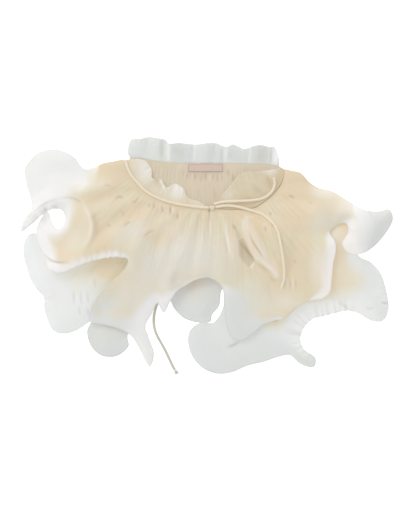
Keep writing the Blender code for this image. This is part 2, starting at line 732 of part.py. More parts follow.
def build_frills(collection):
    """The frill round the neck: the back stands out flat, the fronts turn inwards."""
    for name, root, rows, lean in (
        ("frill_back", BACK_NECKLINE, BACK_FRILL, (0, 2 * SEAM)),
        ("frill_left", NECKLINE_LEFT, LEFT_FRILL, (2 * SEAM, 3 * SEAM)),
        ("frill_right", NECKLINE_RIGHT, RIGHT_FRILL, (-2 * SEAM, 3 * SEAM)),
    ):
        points, faces = frill(root, rows, FRILL_ACROSS, lean)
        finish = material(name + "_organza", WHITE, CLOTH_ROUGHNESS)
        cloth(collection, name, points, faces, finish)


def build_cords(collection):
    """The drawcord: two stretches at the neck, two free tails, the knot and a flared end."""
    for name, (points, route) in CORD_ROUTES.items():
        finish = material(name + "_cotton", CORD_CREAM, CLOTH_ROUGHNESS)
        cord(collection, name, route, points, finish)
    for name, middle, radii in (
        ("cord_knot", KNOT_MIDDLE, KNOT_RADII),
        ("cord_end", CORD_END_MIDDLE, CORD_END_RADII),
    ):
        finish = material(name + "_cotton", CORD_CREAM, CLOTH_ROUGHNESS)
        lump(collection, name, middle, radii, finish)


def main():
    """Clear the scene and build the collar."""
    for old in list(bpy.data.objects):
        bpy.data.objects.remove(old)
    collar = bpy.data.collections.new("ruffled_collar")
    bpy.context.scene.collection.children.link(collar)

    build_back(collar, material("back_organza", BACK_CREAM, CLOTH_ROUGHNESS))
    build_lower(
        collar, "front_lower_left", LOWER_LEFT_ROOT, FRONT_LOWER_LEFT,
        LOWER_LEFT_POSTS, material("lower_left_organza", PALE_CREAM, CLOTH_ROUGHNESS),
    )
    build_lower(
        collar, "front_lower_right", LOWER_RIGHT_ROOT, FRONT_LOWER_RIGHT,
        LOWER_RIGHT_POSTS, material("lower_right_organza", PALE_CREAM, CLOTH_ROUGHNESS),
    )
    build_front_upper(collar, material("upper_organza", CREAM, CLOTH_ROUGHNESS))
    build_frills(collar)
    build_cords(collar)
    slab(
        collar, "label", LABEL_MIDDLE, LABEL_SIZE, LAID,
        material("label_tape", LABEL_PINK, TAPE_ROUGHNESS),
    )


main()
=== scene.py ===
"""The looks of a collar of pleated organza ruffles, lying flat and seen from straight above.

Each piece of cloth is a sheet cut to an outline in plan, with a height worked out at
every point: a thin plate bent through its root, its hem and a few height posts, a hem
that rolls down, folds, waves, pleats and crinkles. Tables are in millimetres.
"""

import logging
import math
from collections.abc import Callable
from dataclasses import dataclass, field
from enum import Enum, IntEnum

import bpy
import numpy as np
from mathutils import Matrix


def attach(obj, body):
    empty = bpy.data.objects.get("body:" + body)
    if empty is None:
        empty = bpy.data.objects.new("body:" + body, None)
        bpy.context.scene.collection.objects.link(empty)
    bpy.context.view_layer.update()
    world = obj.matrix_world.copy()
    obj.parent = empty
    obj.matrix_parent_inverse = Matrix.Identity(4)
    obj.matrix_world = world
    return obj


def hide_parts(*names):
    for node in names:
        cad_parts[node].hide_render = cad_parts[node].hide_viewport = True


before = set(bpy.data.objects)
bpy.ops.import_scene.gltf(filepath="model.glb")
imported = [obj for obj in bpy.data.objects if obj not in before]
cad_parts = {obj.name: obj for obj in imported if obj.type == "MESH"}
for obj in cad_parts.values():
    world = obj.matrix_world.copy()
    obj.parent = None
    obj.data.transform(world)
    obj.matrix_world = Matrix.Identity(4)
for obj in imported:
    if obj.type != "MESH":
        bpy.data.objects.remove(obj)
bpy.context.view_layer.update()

log = logging.getLogger("collar")

Array = np.ndarray
Colour = tuple[float, float, float]
Rows = tuple[tuple[float, ...], ...]

MM = 0.001
ROOT_BODY = "root"
CLOTH_MAP = "Cloth"

# How finely lines and meshes are worked out
OUTLINE_STEP = 0.8
READINGS_A_ROW = 24
FOLD_READINGS = 33
CAP_RINGS = 5
CHUNK = 2048
TINY = 1e-12
SAME_PLACE = 1e4
LEAST_AREA = 1e-6

# Cloth and cord, in millimetres
WALL = 0.5
FRILL_WALL = 0.4
CORD_RADIUS = 1.75
LEAST_LOBE = 0.02
LEAST_FRILL = 0.05
LOBE_EASE = 12.0
RIM_REACH = 1.1
SPREAD = 7.0
CURL_PITCH = 9.0
NECK_MIDDLE_Y = 100
NECK_WAVES = 26

# Shares and eases of the height
PLATE_EASE = 4.0
HIGH_EASE = 0.62
HIGH_BAND = (3, 9)
ROLL_WIDTH = 1.35
EDGE_PUSH = 0.6
FOLD_FADE = 0.7
FOLD_WIDTHS = 3

# Pressed pleats: where they start and ease off, in millimetres from the seam
PRESS_START = (2, 9)
PRESS_EASE = (50, 140)
ROOT_BAND = (1, 8)
# Gathers, as pitch, slant and seed
GATHERS: Rows = ((13.0, 0.03, 0.5), (29.0, -0.05, 2.1))

# Painted shade in the hollows of crinkles and painted highlight on their crests, and where the
# dye's white band of a hem ends
HOLLOW_DARK = 0.3
CREST_LIGHT = 0.15
NARROW_FADE = (0.5, 4.0)
DYE_BAND = (0.02, 1.12)

# Shader groups: how far noise moves the dye, where moss starts and how fast it rises
DRIFT = 0.6
MOSS_FROM = 0.42
MOSS_RISE = 2.6
# Shares of painted shade along pleat lines, in creases and at the hem's rim, and of painted
# highlight on light edges
LINE_SHADE = 0.22
FOLD_SHADE = 0.75
FOLD_LIGHT = 0.9
RIM_SHADE = 0.12
# Pleats: slope of a groove, where patches of them start, and ticks at a reach from the seam;
# grooves and ticks are dented and painted with shade
GROOVE_SLOPE = 5.0
PRESS_FROM = 0.46
PRESS_RISE = 7.0
PRESS_STRENGTH = 0.6
TICK_REACH = 15.0
TICK_HALF = 9.0
TICK_STRENGTH = 1.3
PAST_TICKS = 40
TWIST_TURN = 2400.0
FULL_TURN = 6.2832

# Root lines, as x, y and z from left to right
NECKLINE_LEFT: Rows = (
    (-107, 126, 1.6), (-104, 113, 3), (-97, 101, 4), (-88, 90, 5), (-77, 80.5, 5.5),
    (-64, 73.5, 6), (-50, 69, 6.5), (-33, 65, 6.5), (-15, 62.5, 6.5), (0.8, 61.2, 6.5),
)
SLIT_LEFT: Rows = ((0.8, 61.2, 6.5), (1.7, 55, 7.2), (2.0, 46, 8.5), (2.05, 28, 14))
SLIT_RIGHT: Rows = ((2.05, 28, 14), (2.4, 46, 8.5), (2.8, 55, 7.2), (3.8, 60.9, 6.5))
NECKLINE_RIGHT: Rows = (
    (3.8, 60.9, 6.5), (20, 60, 6.5), (36, 59.5, 6.5), (50, 60, 6.5), (62, 62, 6),
    (71, 67, 6), (81, 75, 5.5), (91, 85, 5), (97.5, 95, 4), (100, 104, 3),
    (101, 113, 1.6),
)
BACK_NECKLINE: Rows = (
    (-101, 128, 0), (-88, 126.5, 0), (-75, 125, 0), (-60, 123, 0), (-30, 121, 0),
    (0, 120.5, 0), (30, 120.5, 0), (60, 120, 0), (80, 119, 0), (94, 116.5, 0),
)
LOWER_LEFT_ROOT: Rows = (
    (-150, 50, 1.5), (-128, 42, 1.5), (-108, 26, 1.5), (-94, 6, 1.5),
    (-88, -16, 1.5), (-88, -40, 1.5),
)
LOWER_RIGHT_ROOT: Rows = (
    (21, -46, 1.5), (48, -28, 1.5), (80, -12, 1.5), (110, 6, 1.5), (130, 26, 1.5),
    (142, 44, 1.5), (154, 54, 1.5),
)
FRONT_POSTS: Rows = (
    (-135, 108, 8), (-150, 100, 11), (-200, 106, 12), (-215, 84, 11), (-178, 90, 14),
    (-166, 72, 22), (-150, 60, 26), (-152, 38, 28), (-155, 15, 28), (-188, 18, 17),
    (-170, 35, 21), (-120, 95, 9), (-125, 75, 17), (-130, 50, 26), (-135, 20, 31),
    (-110, 60, 20), (-105, 35, 28), (-90, 70, 14), (-80, 50, 20), (-85, 20, 25),
    (-88, -10, 25), (-105, -45, 20), (-95, -75, 14), (-120, -70, 15), (-140, -66, 13),
    (-65, 10, 23), (-60, -30, 20), (-45, 40, 18), (-30, 10, 22), (0, 8, 21),
    (15, 35, 15), (30, 30, 17), (40, -10, 21), (45, -60, 15), (62, -60, 17),
    (60, 30, 20), (75, -40, 22), (85, 0, 25), (85, 45, 20), (100, -45, 24),
    (110, 30, 28), (125, 0, 32), (140, -20, 31), (145, 20, 33), (104, 88, 8),
    (118, 82, 11), (128, 92, 6), (120, 60, 20), (140, 62, 24), (160, 65, 20), (175, 54, 24),
    (186, 35, 28), (190, 20, 26), (205, 30, 22), (215, 45, 15),
)
BACK_POSTS: Rows = ((-60, 60, 0), (60, 60, 0), (0, 0, 0))
LOWER_LEFT_POSTS: Rows = (
    (-190, 10, 7), (-200, -20, 10), (-185, -50, 10), (-190, -80, 7), (-150, 20, 7),
    (-140, -20, 11), (-120, -10, 10), (-150, -60, 8), (-120, -45, 5),
)
LOWER_RIGHT_POSTS: Rows = (
    (30, -90, 4), (10, -110, 6), (40, -125, 6), (70, -112, 6), (95, -105, 8),
    (60, -60, 4), (108, -62, 11), (100, -88, 11), (140, -30, 13), (170, -20, 19),
    (205, -45, 12), (190, -20, 14), (172, 8, 18.5), (160, 22, 15.5), (170, 32, 13.5),
    (120, 0, 4.5),
)
# Folds, as x0 y0 x1 y1 x2 y2 width height
FRONT_FOLDS: Rows = (
    (50, 44, 64, 8, 92, -28, 7, 7),
    (42, 34, 48, 8, 55, -18, 6, -7),
    (28, 42, 32, 10, 38, -22, 7, 3),
    (74, 44, 88, 12, 98, -16, 7, 4),
    (66, 38, 80, 6, 96, -24, 4, -4),
    (-26, 44, -38, 4, -47, -24, 7, 4),
    (-14, 40, -18, 8, -22, -16, 6, -3),
    (-60, 44, -66, 0, -66, -44, 8, -4),
    (-78, 46, -92, 4, -104, -52, 10, 4),
    (-100, 58, -128, 34, -150, 20, 9, -4),
    (-160, 64, -150, 36, -162, 4, 5, 4),
    (-116, 92, -150, 84, -186, 78, 9, 3),
    (-122, 82, -144, 68, -158, 58, 8, -3),
    (110, 66, 134, 52, 150, 40, 9, 4),
    (118, 30, 112, 0, 108, -34, 8, -4),
    (100, 78, 136, 70, 170, 60, 8, -3),
)
# Painted shade along creases and painted highlight along light edges, as x0 y0 x1 y1 x2 y2 width
# and tone, shade above 0 and highlight below
FRONT_SHADE_LINES: Rows = (
    (41, 18, 52, 6, 61, -7, 2.0, 0.7), (47, 22, 54, 8, 60, -3, 1.6, 0.5),
    (53.8, 31, 60.5, 15, 77.6, -7.3, 1.2, 0.9), (57, 20, 65, 7, 74, -6, 1.1, 0.5),
    (33.5, 40, 34.5, 37, 37, 32, 1.5, 0.9), (37, 31, 40, 26, 41, 20, 2.0, 0.4),
    (21.5, 31, 24, 16, 26, 4, 1.3, 0.5), (62, -9, 72, -15, 84, -24, 2.2, 0.4),
    (79, -26, 84, -31, 88, -33, 1.6, 0.35),
    (47.7, 23, 56, 5, 66, -6, 1.5, -0.6), (66, -6, 78, -14, 90, -28, 2.4, -0.5),
    (47, 44, 52, 50, 60, 48, 2.4, -0.4), (55, -16.5, 58, -13, 60, -9, 1.4, -0.7),
    (23.5, 46, 26, 18, 32, -1, 2.0, -0.6), (62, 18, 70, 4, 77, -8, 1.2, -0.5),
    (102, -27, 103, -34, 103, -42, 1.2, -0.4), (106, -28, 107, -36, 107, -45, 1.2, 0.4),
    (109.5, -28, 110.5, -36, 110.5, -45, 1.2, -0.4), (113, -30, 114, -37, 114, -44, 1.2, 0.35),
    (-25, 28, -33, 8, -40, -6, 2.2, -0.4), (-40, -20, -44, -30, -48, -42, 5.0, 0.35),
    (-68, 51, -92, 36, -117, 13, 8.0, -0.28),
    (-167, 75, -150, 40, -161, 10, 2.2, -0.6), (-157, 62, -145, 38, -154, 12, 5.0, 0.35),
    (-157, 95, -163, 88, -170, 80, 3.0, -0.5),
    (154, 25, 158, 5, 157, -18, 3.2, -0.8), (158, -14, 156, -36, 149, -52, 4.5, -0.6),
    (-148, -4, -130, 1, -110, 2, 4.0, -0.4), (-204, -14, -180, -16, -152, -6, 3.5, -0.5),
    (-62, -57, -50, -55, -37, -42, 3.0, -0.8), (-38, -43, -26, -35, -10, -28, 2.4, -0.5),
    (-238, 40, -216, 64, -190, 74, 1.3, 0.55), (-192, 74, -174, 74, -160, 65, 1.3, 0.5),
    (-216, 62, -206, 68, -196, 69, 2.0, 0.2), (-227, 48, -220, 56, -214, 58, 2.0, 0.2),
    (-204, 62, -200, 64, -195, 62, 1.4, 0.5), (-214, 55, -211, 60, -207, 62, 1.4, 0.5),
    (-210, 1, -198, -8, -177, -8, 1.5, 0.9),
    (0.4, 52, 0.4, 40, 0.6, 27, 1.2, 0.35), (3.6, 52, 3.6, 40, 3.6, 27, 1.3, -0.5),
    (-120, 73, -115, 76, -109, 74, 1.2, 0.8), (-98, 70, -94, 70, -90, 76, 1.2, 0.8),
    (-76.4, 67, -76, 65, -75, 62, 1.2, 0.7), (-70.7, 68, -70, 65, -70, 61, 1.2, 0.8),
    (-60, 64, -59, 61, -57.7, 56, 1.2, 0.8), (-48, 65, -48, 59, -48, 53, 1.3, 1.0),
    (-45.4, 64, -45.4, 59, -45.4, 54, 1.2, -0.6), (-39, 54, -39, 50, -38, 46, 1.2, 0.8),
    (-108, 37, -104, 41, -98, 44, 1.2, 0.7), (-84, 23, -77, 29, -70, 33, 1.2, 0.6),
    (-88, 29, -81, 34, -75, 37, 1.2, -0.5), (-135, 90, -130, 91, -125, 88, 1.2, 0.4),
    (-129, 40, -128, 39, -126, 39, 1.3, 0.6), (-113, 58, -110, 55, -108, 50, 1.3, 0.4),
    (106, 76, 109, 77, 112, 74, 1.2, 0.8), (81, 56, 82, 54, 82, 52, 1.2, 0.7),
    (83, 42, 84, 40, 84, 37, 1.2, 0.7), (75, 38, 75.4, 35, 75.4, 31, 1.2, 0.6),
    (112, -6, 113, -7.5, 113, -10, 1.2, 0.5), (130, 70, 134, 68, 137, 69, 1.2, 0.4),
)
# Patches of shade or light with a clear edge, as tone, softness and then corners
FRONT_PATCHES: Rows = (
    (0.45, 1.0, 39.4, 19.4, 46.6, 23, 54, 8, 61.5, -6, 54.5, -16, 46, -8, 40.6, 1),
    (-0.30, 2.2, 44, 44, 54, 48, 61, 34, 71, 17, 81, 0, 91, -16, 93, -28, 88, -29, 83, -19,
     74, -9, 63, -4, 53, 12, 45, 27),
    (0.12, 2.5, 208, 59, 223, 59, 242, 62, 243, 45, 229, 22, 212, 6, 204, 3, 212, 20, 217, 38,
     211, 52),
)
# Painted shade and highlight on the neck frill, as x0 y0 x1 y1 x2 y2 width and tone, shade above 0
# and highlight below
FRILL_SHADE_LINES: Rows = (
    (-35, 124, -35, 135, -36, 150, 12, 0.32), (68, 120, 69, 132, 70, 148, 11, 0.36),
    (38, 121, 38, 132, 38, 146, 10, 0.22), (4, 122, 4, 134, 4, 150, 12, 0.16),
    (-51, 122, -51, 136, -51, 152, 1.8, -0.6), (-18, 121, -17, 134, -16, 150, 1.8, -0.5),
    (23, 120, 24, 132, 25, 146, 1.8, -0.5), (54, 119, 55, 132, 56, 146, 1.8, -0.5),
    (82, 119, 83, 130, 84, 144, 1.6, 0.4), (89, 118, 90, 130, 91, 142, 4, -0.8),
    (-60, 123, -60, 138, -58, 152, 3, 0.3), (18, 120, 18, 132, 19, 146, 3, 0.3),
    (-61, 99, -58, 91, -54, 83, 1.4, -0.7), (-76, 124, -76, 115, -79, 105, 1.4, -0.4),
    (-70, 108, -66, 96, -60, 88, 3.0, 0.3), (58, 95, 66, 84, 82, 78, 4, 0.3),
    (76, 106, 80, 98, 82, 88, 2, 0.4), (40, 72, 58, 74, 74, 76, 2, 0.3),
)
# Painted highlights and shade on the crumpled frills, as x, y, reach across, reach up and share of
# dye, paler below 0
FRILL_LIGHT_AND_SHADE: Rows = (
    (-83, 112, 8, 14, -0.6), (-38, 85, 9, 13, -0.55), (82, 112, 9, 7, -0.5),
    (-62, 92, 6, 10, 0.2), (28, 76, 8, 14, -0.3),
)
# Painted shade and highlight on the lower left tier, as x0 y0 x1 y1 x2 y2 width and tone, shade
# above 0 and highlight below
LOWER_LEFT_SHADE_LINES: Rows = (
    (-110, -19, -128, -38, -147, -58, 2.2, -0.5),
    (-142, -6, -124, -14, -108, -22, 9.0, 0.12),
    (-174, -45, -174, -54, -173, -63, 1.2, 0.45), (-170, -47, -170, -55, -169, -63, 1.2, -0.5),
    (-165, -46, -165, -55, -164, -64, 1.2, 0.4), (-160, -47, -160, -54, -159, -62, 1.2, -0.5),
    (-156, -46, -156, -54, -155, -62, 1.2, 0.4), (-167, -66, -167, -72, -166, -78, 1.2, 0.4),
    (-161, -66, -161, -72, -160, -78, 1.2, -0.5), (-156, -68, -156, -73, -155, -79, 1.2, 0.4),
    (-152, -28, -152, -35, -151, -42, 1.2, -0.5), (-147, -30, -147, -36, -146, -42, 1.2, 0.35),
    (-224, -51, -218, -52, -212, -52, 1.3, -0.6), (-223, -61, -218, -61.5, -213, -61, 1.3, 0.7),
    (-223, -56, -217, -57, -211, -57, 1.2, 0.35),
)
# Painted shade and highlight on the lower right tier, as x0 y0 x1 y1 x2 y2 width and tone, shade
# above 0 and highlight below
LOWER_RIGHT_SHADE_LINES: Rows = (
    (26, -119, 33, -117, 42, -112, 1.8, 0.7),
    (84, -85, 88, -84, 92, -82, 2.4, 0.5), (171, -60, 178, -65, 186, -71, 2.5, 0.45),
    (212, -45, 220, -46, 228, -47, 1.3, -0.6), (212, -49, 220, -51, 228, -50, 1.3, -0.6),
    (227, -61, 231, -62, 236, -62, 1.3, 0.8), (224, -57, 229, -58, 234, -58, 1.2, -0.4),
    (206, -67, 211, -69, 216, -67, 1.6, 0.35),
)
# Where the dye is paler or deeper, as x, y, reach across, reach up and share
FRONT_TONES: Rows = (
    (-212, 105, 36, 38, -1.2), (-200, 66, 22, 12, -0.8), (-212, 20, 14, 34, -0.4),
    (-175, 20, 16, 20, -0.25), (-152, 90, 22, 9, -0.3), (-182, 86, 16, 10, -0.3),
    (-153, 107, 9, 13, 0.5),
    (-163, 40, 12, 26, -0.1), (-135, 98, 16, 10, -0.15),
    (-62, 22, 15, 14, 0.3),
    (-45, 5, 42, 42, -0.34), (0, -8, 42, 38, -0.40), (36, -52, 30, 28, -0.22),
    (-200, -13, 10, 8, -0.8), (-48, -42, 22, 16, -0.3),
    (-124, -56, 24, 24, -0.42), (-84, -76, 20, 20, -0.5), (-138, -70, 20, 18, -0.5),
    (-75, -10, 26, 30, -0.25),
    (215, 35, 24, 34, -0.9), (190, 66, 22, 12, -0.5), (152, 84, 18, 9, -0.35),
    (58, -66, 20, 26, -0.42), (90, -62, 26, 24, -0.32), (86, -84, 14, 8, -0.15),
    (128, -62, 26, 10, -0.2), (160, 44, 24, 14, -0.4), (176, 50, 12, 10, -0.25),
    (-98, -42, 24, 26, -0.28), (141, -15, 10, 42, -0.38),
    (-110, 25, 30, 22, -0.2), (-95, 36, 14, 10, -0.15),
)
# The deep spot at (-120, -14), in the hollow under the crinkled hem, is partly the dye and partly
# painted warm shade
LOWER_LEFT_TONES: Rows = (
    (-215, -20, 30, 60, -0.6), (-185, -80, 42, 26, -0.7), (-120, -14, 22, 14, 0.7),
    (-165, -34, 16, 20, -0.25),
)
LOWER_RIGHT_TONES: Rows = (
    (20, -120, 60, 30, -1.2), (80, -130, 50, 20, -0.8), (215, -60, 22, 36, -0.6),
    (184, -16, 20, 30, -0.32), (166, -32, 12, 16, -0.12), (86, -88, 12, 8, 0.12),
    (110, -92, 10, 12, -0.6),
    (128, -74, 24, 12, -1.0), (166, 26, 12, 14, -0.35), (155, -66, 14, 8, -0.6),
)
# Painted shade and highlight on the back panel near the neck, as x0 y0 x1 y1 x2 y2 width and tone,
# shade above 0 and highlight below
BACK_SHADE_LINES: Rows = (
    (-26, 108, -26, 104, -26, 100, 1.4, 0.35), (-16, 107, -16, 103, -16, 99, 1.4, 0.5),
    (-9, 107, -9, 101, -9, 95, 1.4, 0.4), (-3, 107, -3, 103, -3, 98, 1.4, 0.55),
    (3, 107, 3, 102, 3, 97, 1.4, -0.3), (7, 106, 7, 103, 7, 99, 1.4, 0.5),
    (13, 107, 13, 102, 13, 96, 1.4, 0.5), (19, 106, 19, 102, 19, 98, 1.4, 0.35),
    (26, 112, 27, 108, 26, 104, 1.4, 0.5), (33, 108, 33, 102, 33, 96, 1.4, 0.5),
    (-12, 88, -12, 82, -12, 76, 1.4, 0.25), (10, 88, 10, 80, 10, 72, 1.4, 0.25),
)
BACK_FOLDS: Rows = (
    (-132, -96, -128, -112, -124, -124, 15, 4),
    (-16, -50, -10, -62, -4, -80, 16, 6.5),
)
# Frill rows, as share of the root, then x, y and z of the edge and z of the middle
BACK_FRILL: Rows = (
    (0.00, -105, 134, 0.4, 1.0), (0.03, -100.5, 151, 1.0, 2.5), (0.08, -88, 152.5, 6.0, 4.5),
    (0.13, -77, 155.1, 0.8, 1.0), (0.18, -66, 153.5, 6.5, 4.5), (0.23, -55, 151.5, 1.2, 1.0),
    (0.28, -50, 146.5, 5.5, 4.0), (0.34, -38, 147.5, 1.0, 1.0), (0.40, -25, 146, 6.5, 4.5),
    (0.46, -14, 145.5, 1.0, 1.0), (0.52, 1, 147, 6.0, 4.5), (0.58, 12, 147, 0.8, 1.0),
    (0.64, 24, 142, 6.0, 4.5), (0.70, 34, 145.5, 1.0, 1.0), (0.76, 48, 139.5, 6.0, 4.5),
    (0.82, 58, 143, 0.8, 1.0), (0.88, 69, 144.5, 6.0, 4.5), (0.94, 80, 142.5, 1.0, 1.5),
    (0.97, 88.5, 141, 4.0, 3.5), (1.00, 94, 124, 0.6, 1.0),
)
LEFT_FRILL: Rows = (
    (0.02, -97, 126.5, 2.2, 2.6), (0.12, -82, 124, 5.5, 5.0), (0.22, -73, 113, 2.2, 3.5),
    (0.32, -72, 101, 5.5, 5.5), (0.42, -61, 100, 2.2, 3.5), (0.52, -54, 89, 5.0, 5.5),
    (0.62, -43, 94, 2.2, 4.0), (0.72, -32, 88, 5.5, 5.5), (0.82, -26, 76, 2.6, 4.0),
    (0.92, -12, 70.5, 4.0, 5.2), (0.97, -5, 67, 5.0, 5.8),
)
RIGHT_FRILL: Rows = (
    (0.07, 13, 66.5, 5.0, 5.8), (0.14, 17, 76, 3.0, 4.5), (0.22, 24, 85, 5.0, 5.5),
    (0.31, 31, 93.5, 2.4, 3.5), (0.40, 38, 101.5, 5.0, 5.5), (0.49, 45, 108.5, 2.4, 3.5),
    (0.59, 56, 110, 5.0, 5.0), (0.69, 66, 109.5, 2.4, 3.0), (0.80, 76, 111, 5.0, 4.5),
    (0.90, 86, 112.5, 2.4, 2.6), (0.98, 93.5, 113.5, 2.2, 2.4),
)
# Routes of the cord's middle line, as x, y and z
NECK_CORD_LEFT: Rows = (
    (-107, 125, 5.4), (-104, 114, 6.5), (-98, 103, 7.5), (-90, 93.5, 8.3),
    (-80, 83.5, 9.2), (-68, 76.5, 9.4), (-54, 71, 10.0), (-38, 67, 10.1),
    (-22, 64.5, 10.0), (-6, 62.8, 10.0), (1.8, 62.5, 10.0),
)
NECK_CORD_RIGHT: Rows = (
    (8.0, 66.9, 9.4), (14, 68.8, 9.3), (24, 70.3, 9.3), (40, 71, 9.3), (56, 71.8, 9.4),
    (70, 74, 9.4), (80, 79.5, 8.9), (86, 87, 8.4), (87.5, 95, 8.2), (86, 102, 8.1),
)
TAIL_RIGHT: Rows = (
    (10.4, 62.9, 9.9), (15, 64, 9.7), (22, 65, 9.6), (34, 64.6, 9.8), (46, 62, 10.3),
    (54, 59.8, 11.2), (60, 57.8, 12.6), (66, 55.8, 14.5), (71.5, 53.2, 17.1),
    (77, 49.5, 20.4), (82, 45, 23.9), (87.5, 38, 27.6), (92, 27, 31.1),
    (94.2, 15, 32.2), (96.2, 4, 32.0), (98, -8, 31.4), (99, -20, 30.2),
    (98.8, -30, 29.5), (96.5, -39, 28.1), (95.5, -42, 27.5),
)
TAIL_LEFT: Rows = (
    (5, 64.4, 5.0), (4, 61, 4.2), (3, 57, 3.8), (2, 46, 3.5), (-4, 26, 3.5), (-14, 2, 3.5),
    (-30, -20, 3.5), (-48, -38, 3.5), (-60, -52, 3.5), (-66, -64, 3.2),
    (-69.5, -77, 2.2), (-70, -90, 1.78), (-67.5, -101, 1.78), (-62.5, -111, 1.78),
    (-56, -122.5, 1.78), (-50, -135, 1.78), (-45, -145.5, 1.78), (-42.5, -149.6, 1.78),
)
KNOT_MIDDLE = (6.0, 62.3, 10.7)
KNOT_RADII = (3.6, 3.0, 2.5)
CORD_END_MIDDLE = (-40.9, -152.4, 2.22)
LABEL_SIZE = (45.0, 10.0, 0.8)
LABEL_MIDDLE = (-2.5, 114.5)
LABEL_FLOOR = 1.5


class Held(Enum):
    """How a sheet of cloth is held."""

    LAID = "laid"
    GATHERED = "gathered"


class FarEnd(Enum):
    """What a free cord ends in."""

    BARE = "bare"
    KNOT = "knot"


class Hem(IntEnum):
    """Columns of a hem's table, after x and y."""

    Z = 2
    STRIP = 3
    DROP = 4
    FADE = 5
    SHEER = 6
    CRIMP = 7
    PITCH = 8
    DEEP = 9
    TURN = 10


@dataclass(frozen=True)
class Stretch:
    """A stretch of hem: rows of x, y, z, strip and drop, and how its edge is dyed, shaded and
    crinkled.

    fade is the width of the white band, sheer how grey a lone thin layer looks, partly the sheer
    cloth and partly painted shade, crimp the height of its crinkles, pitch their spacing and deep
    how far in they reach.
    """

    rows: Rows
    fade: float
    sheer: float = 0.1
    crimp: float = 0.0
    pitch: float = 7.0
    deep: float = 8.0

    def table(self) -> Array:
        """The rows with the edge's own values after each."""
        rows = np.array(self.rows, float)
        looks = [self.fade, self.sheer, self.crimp, self.pitch, self.deep]
        return np.column_stack([rows, np.tile(looks, (len(rows), 1))])


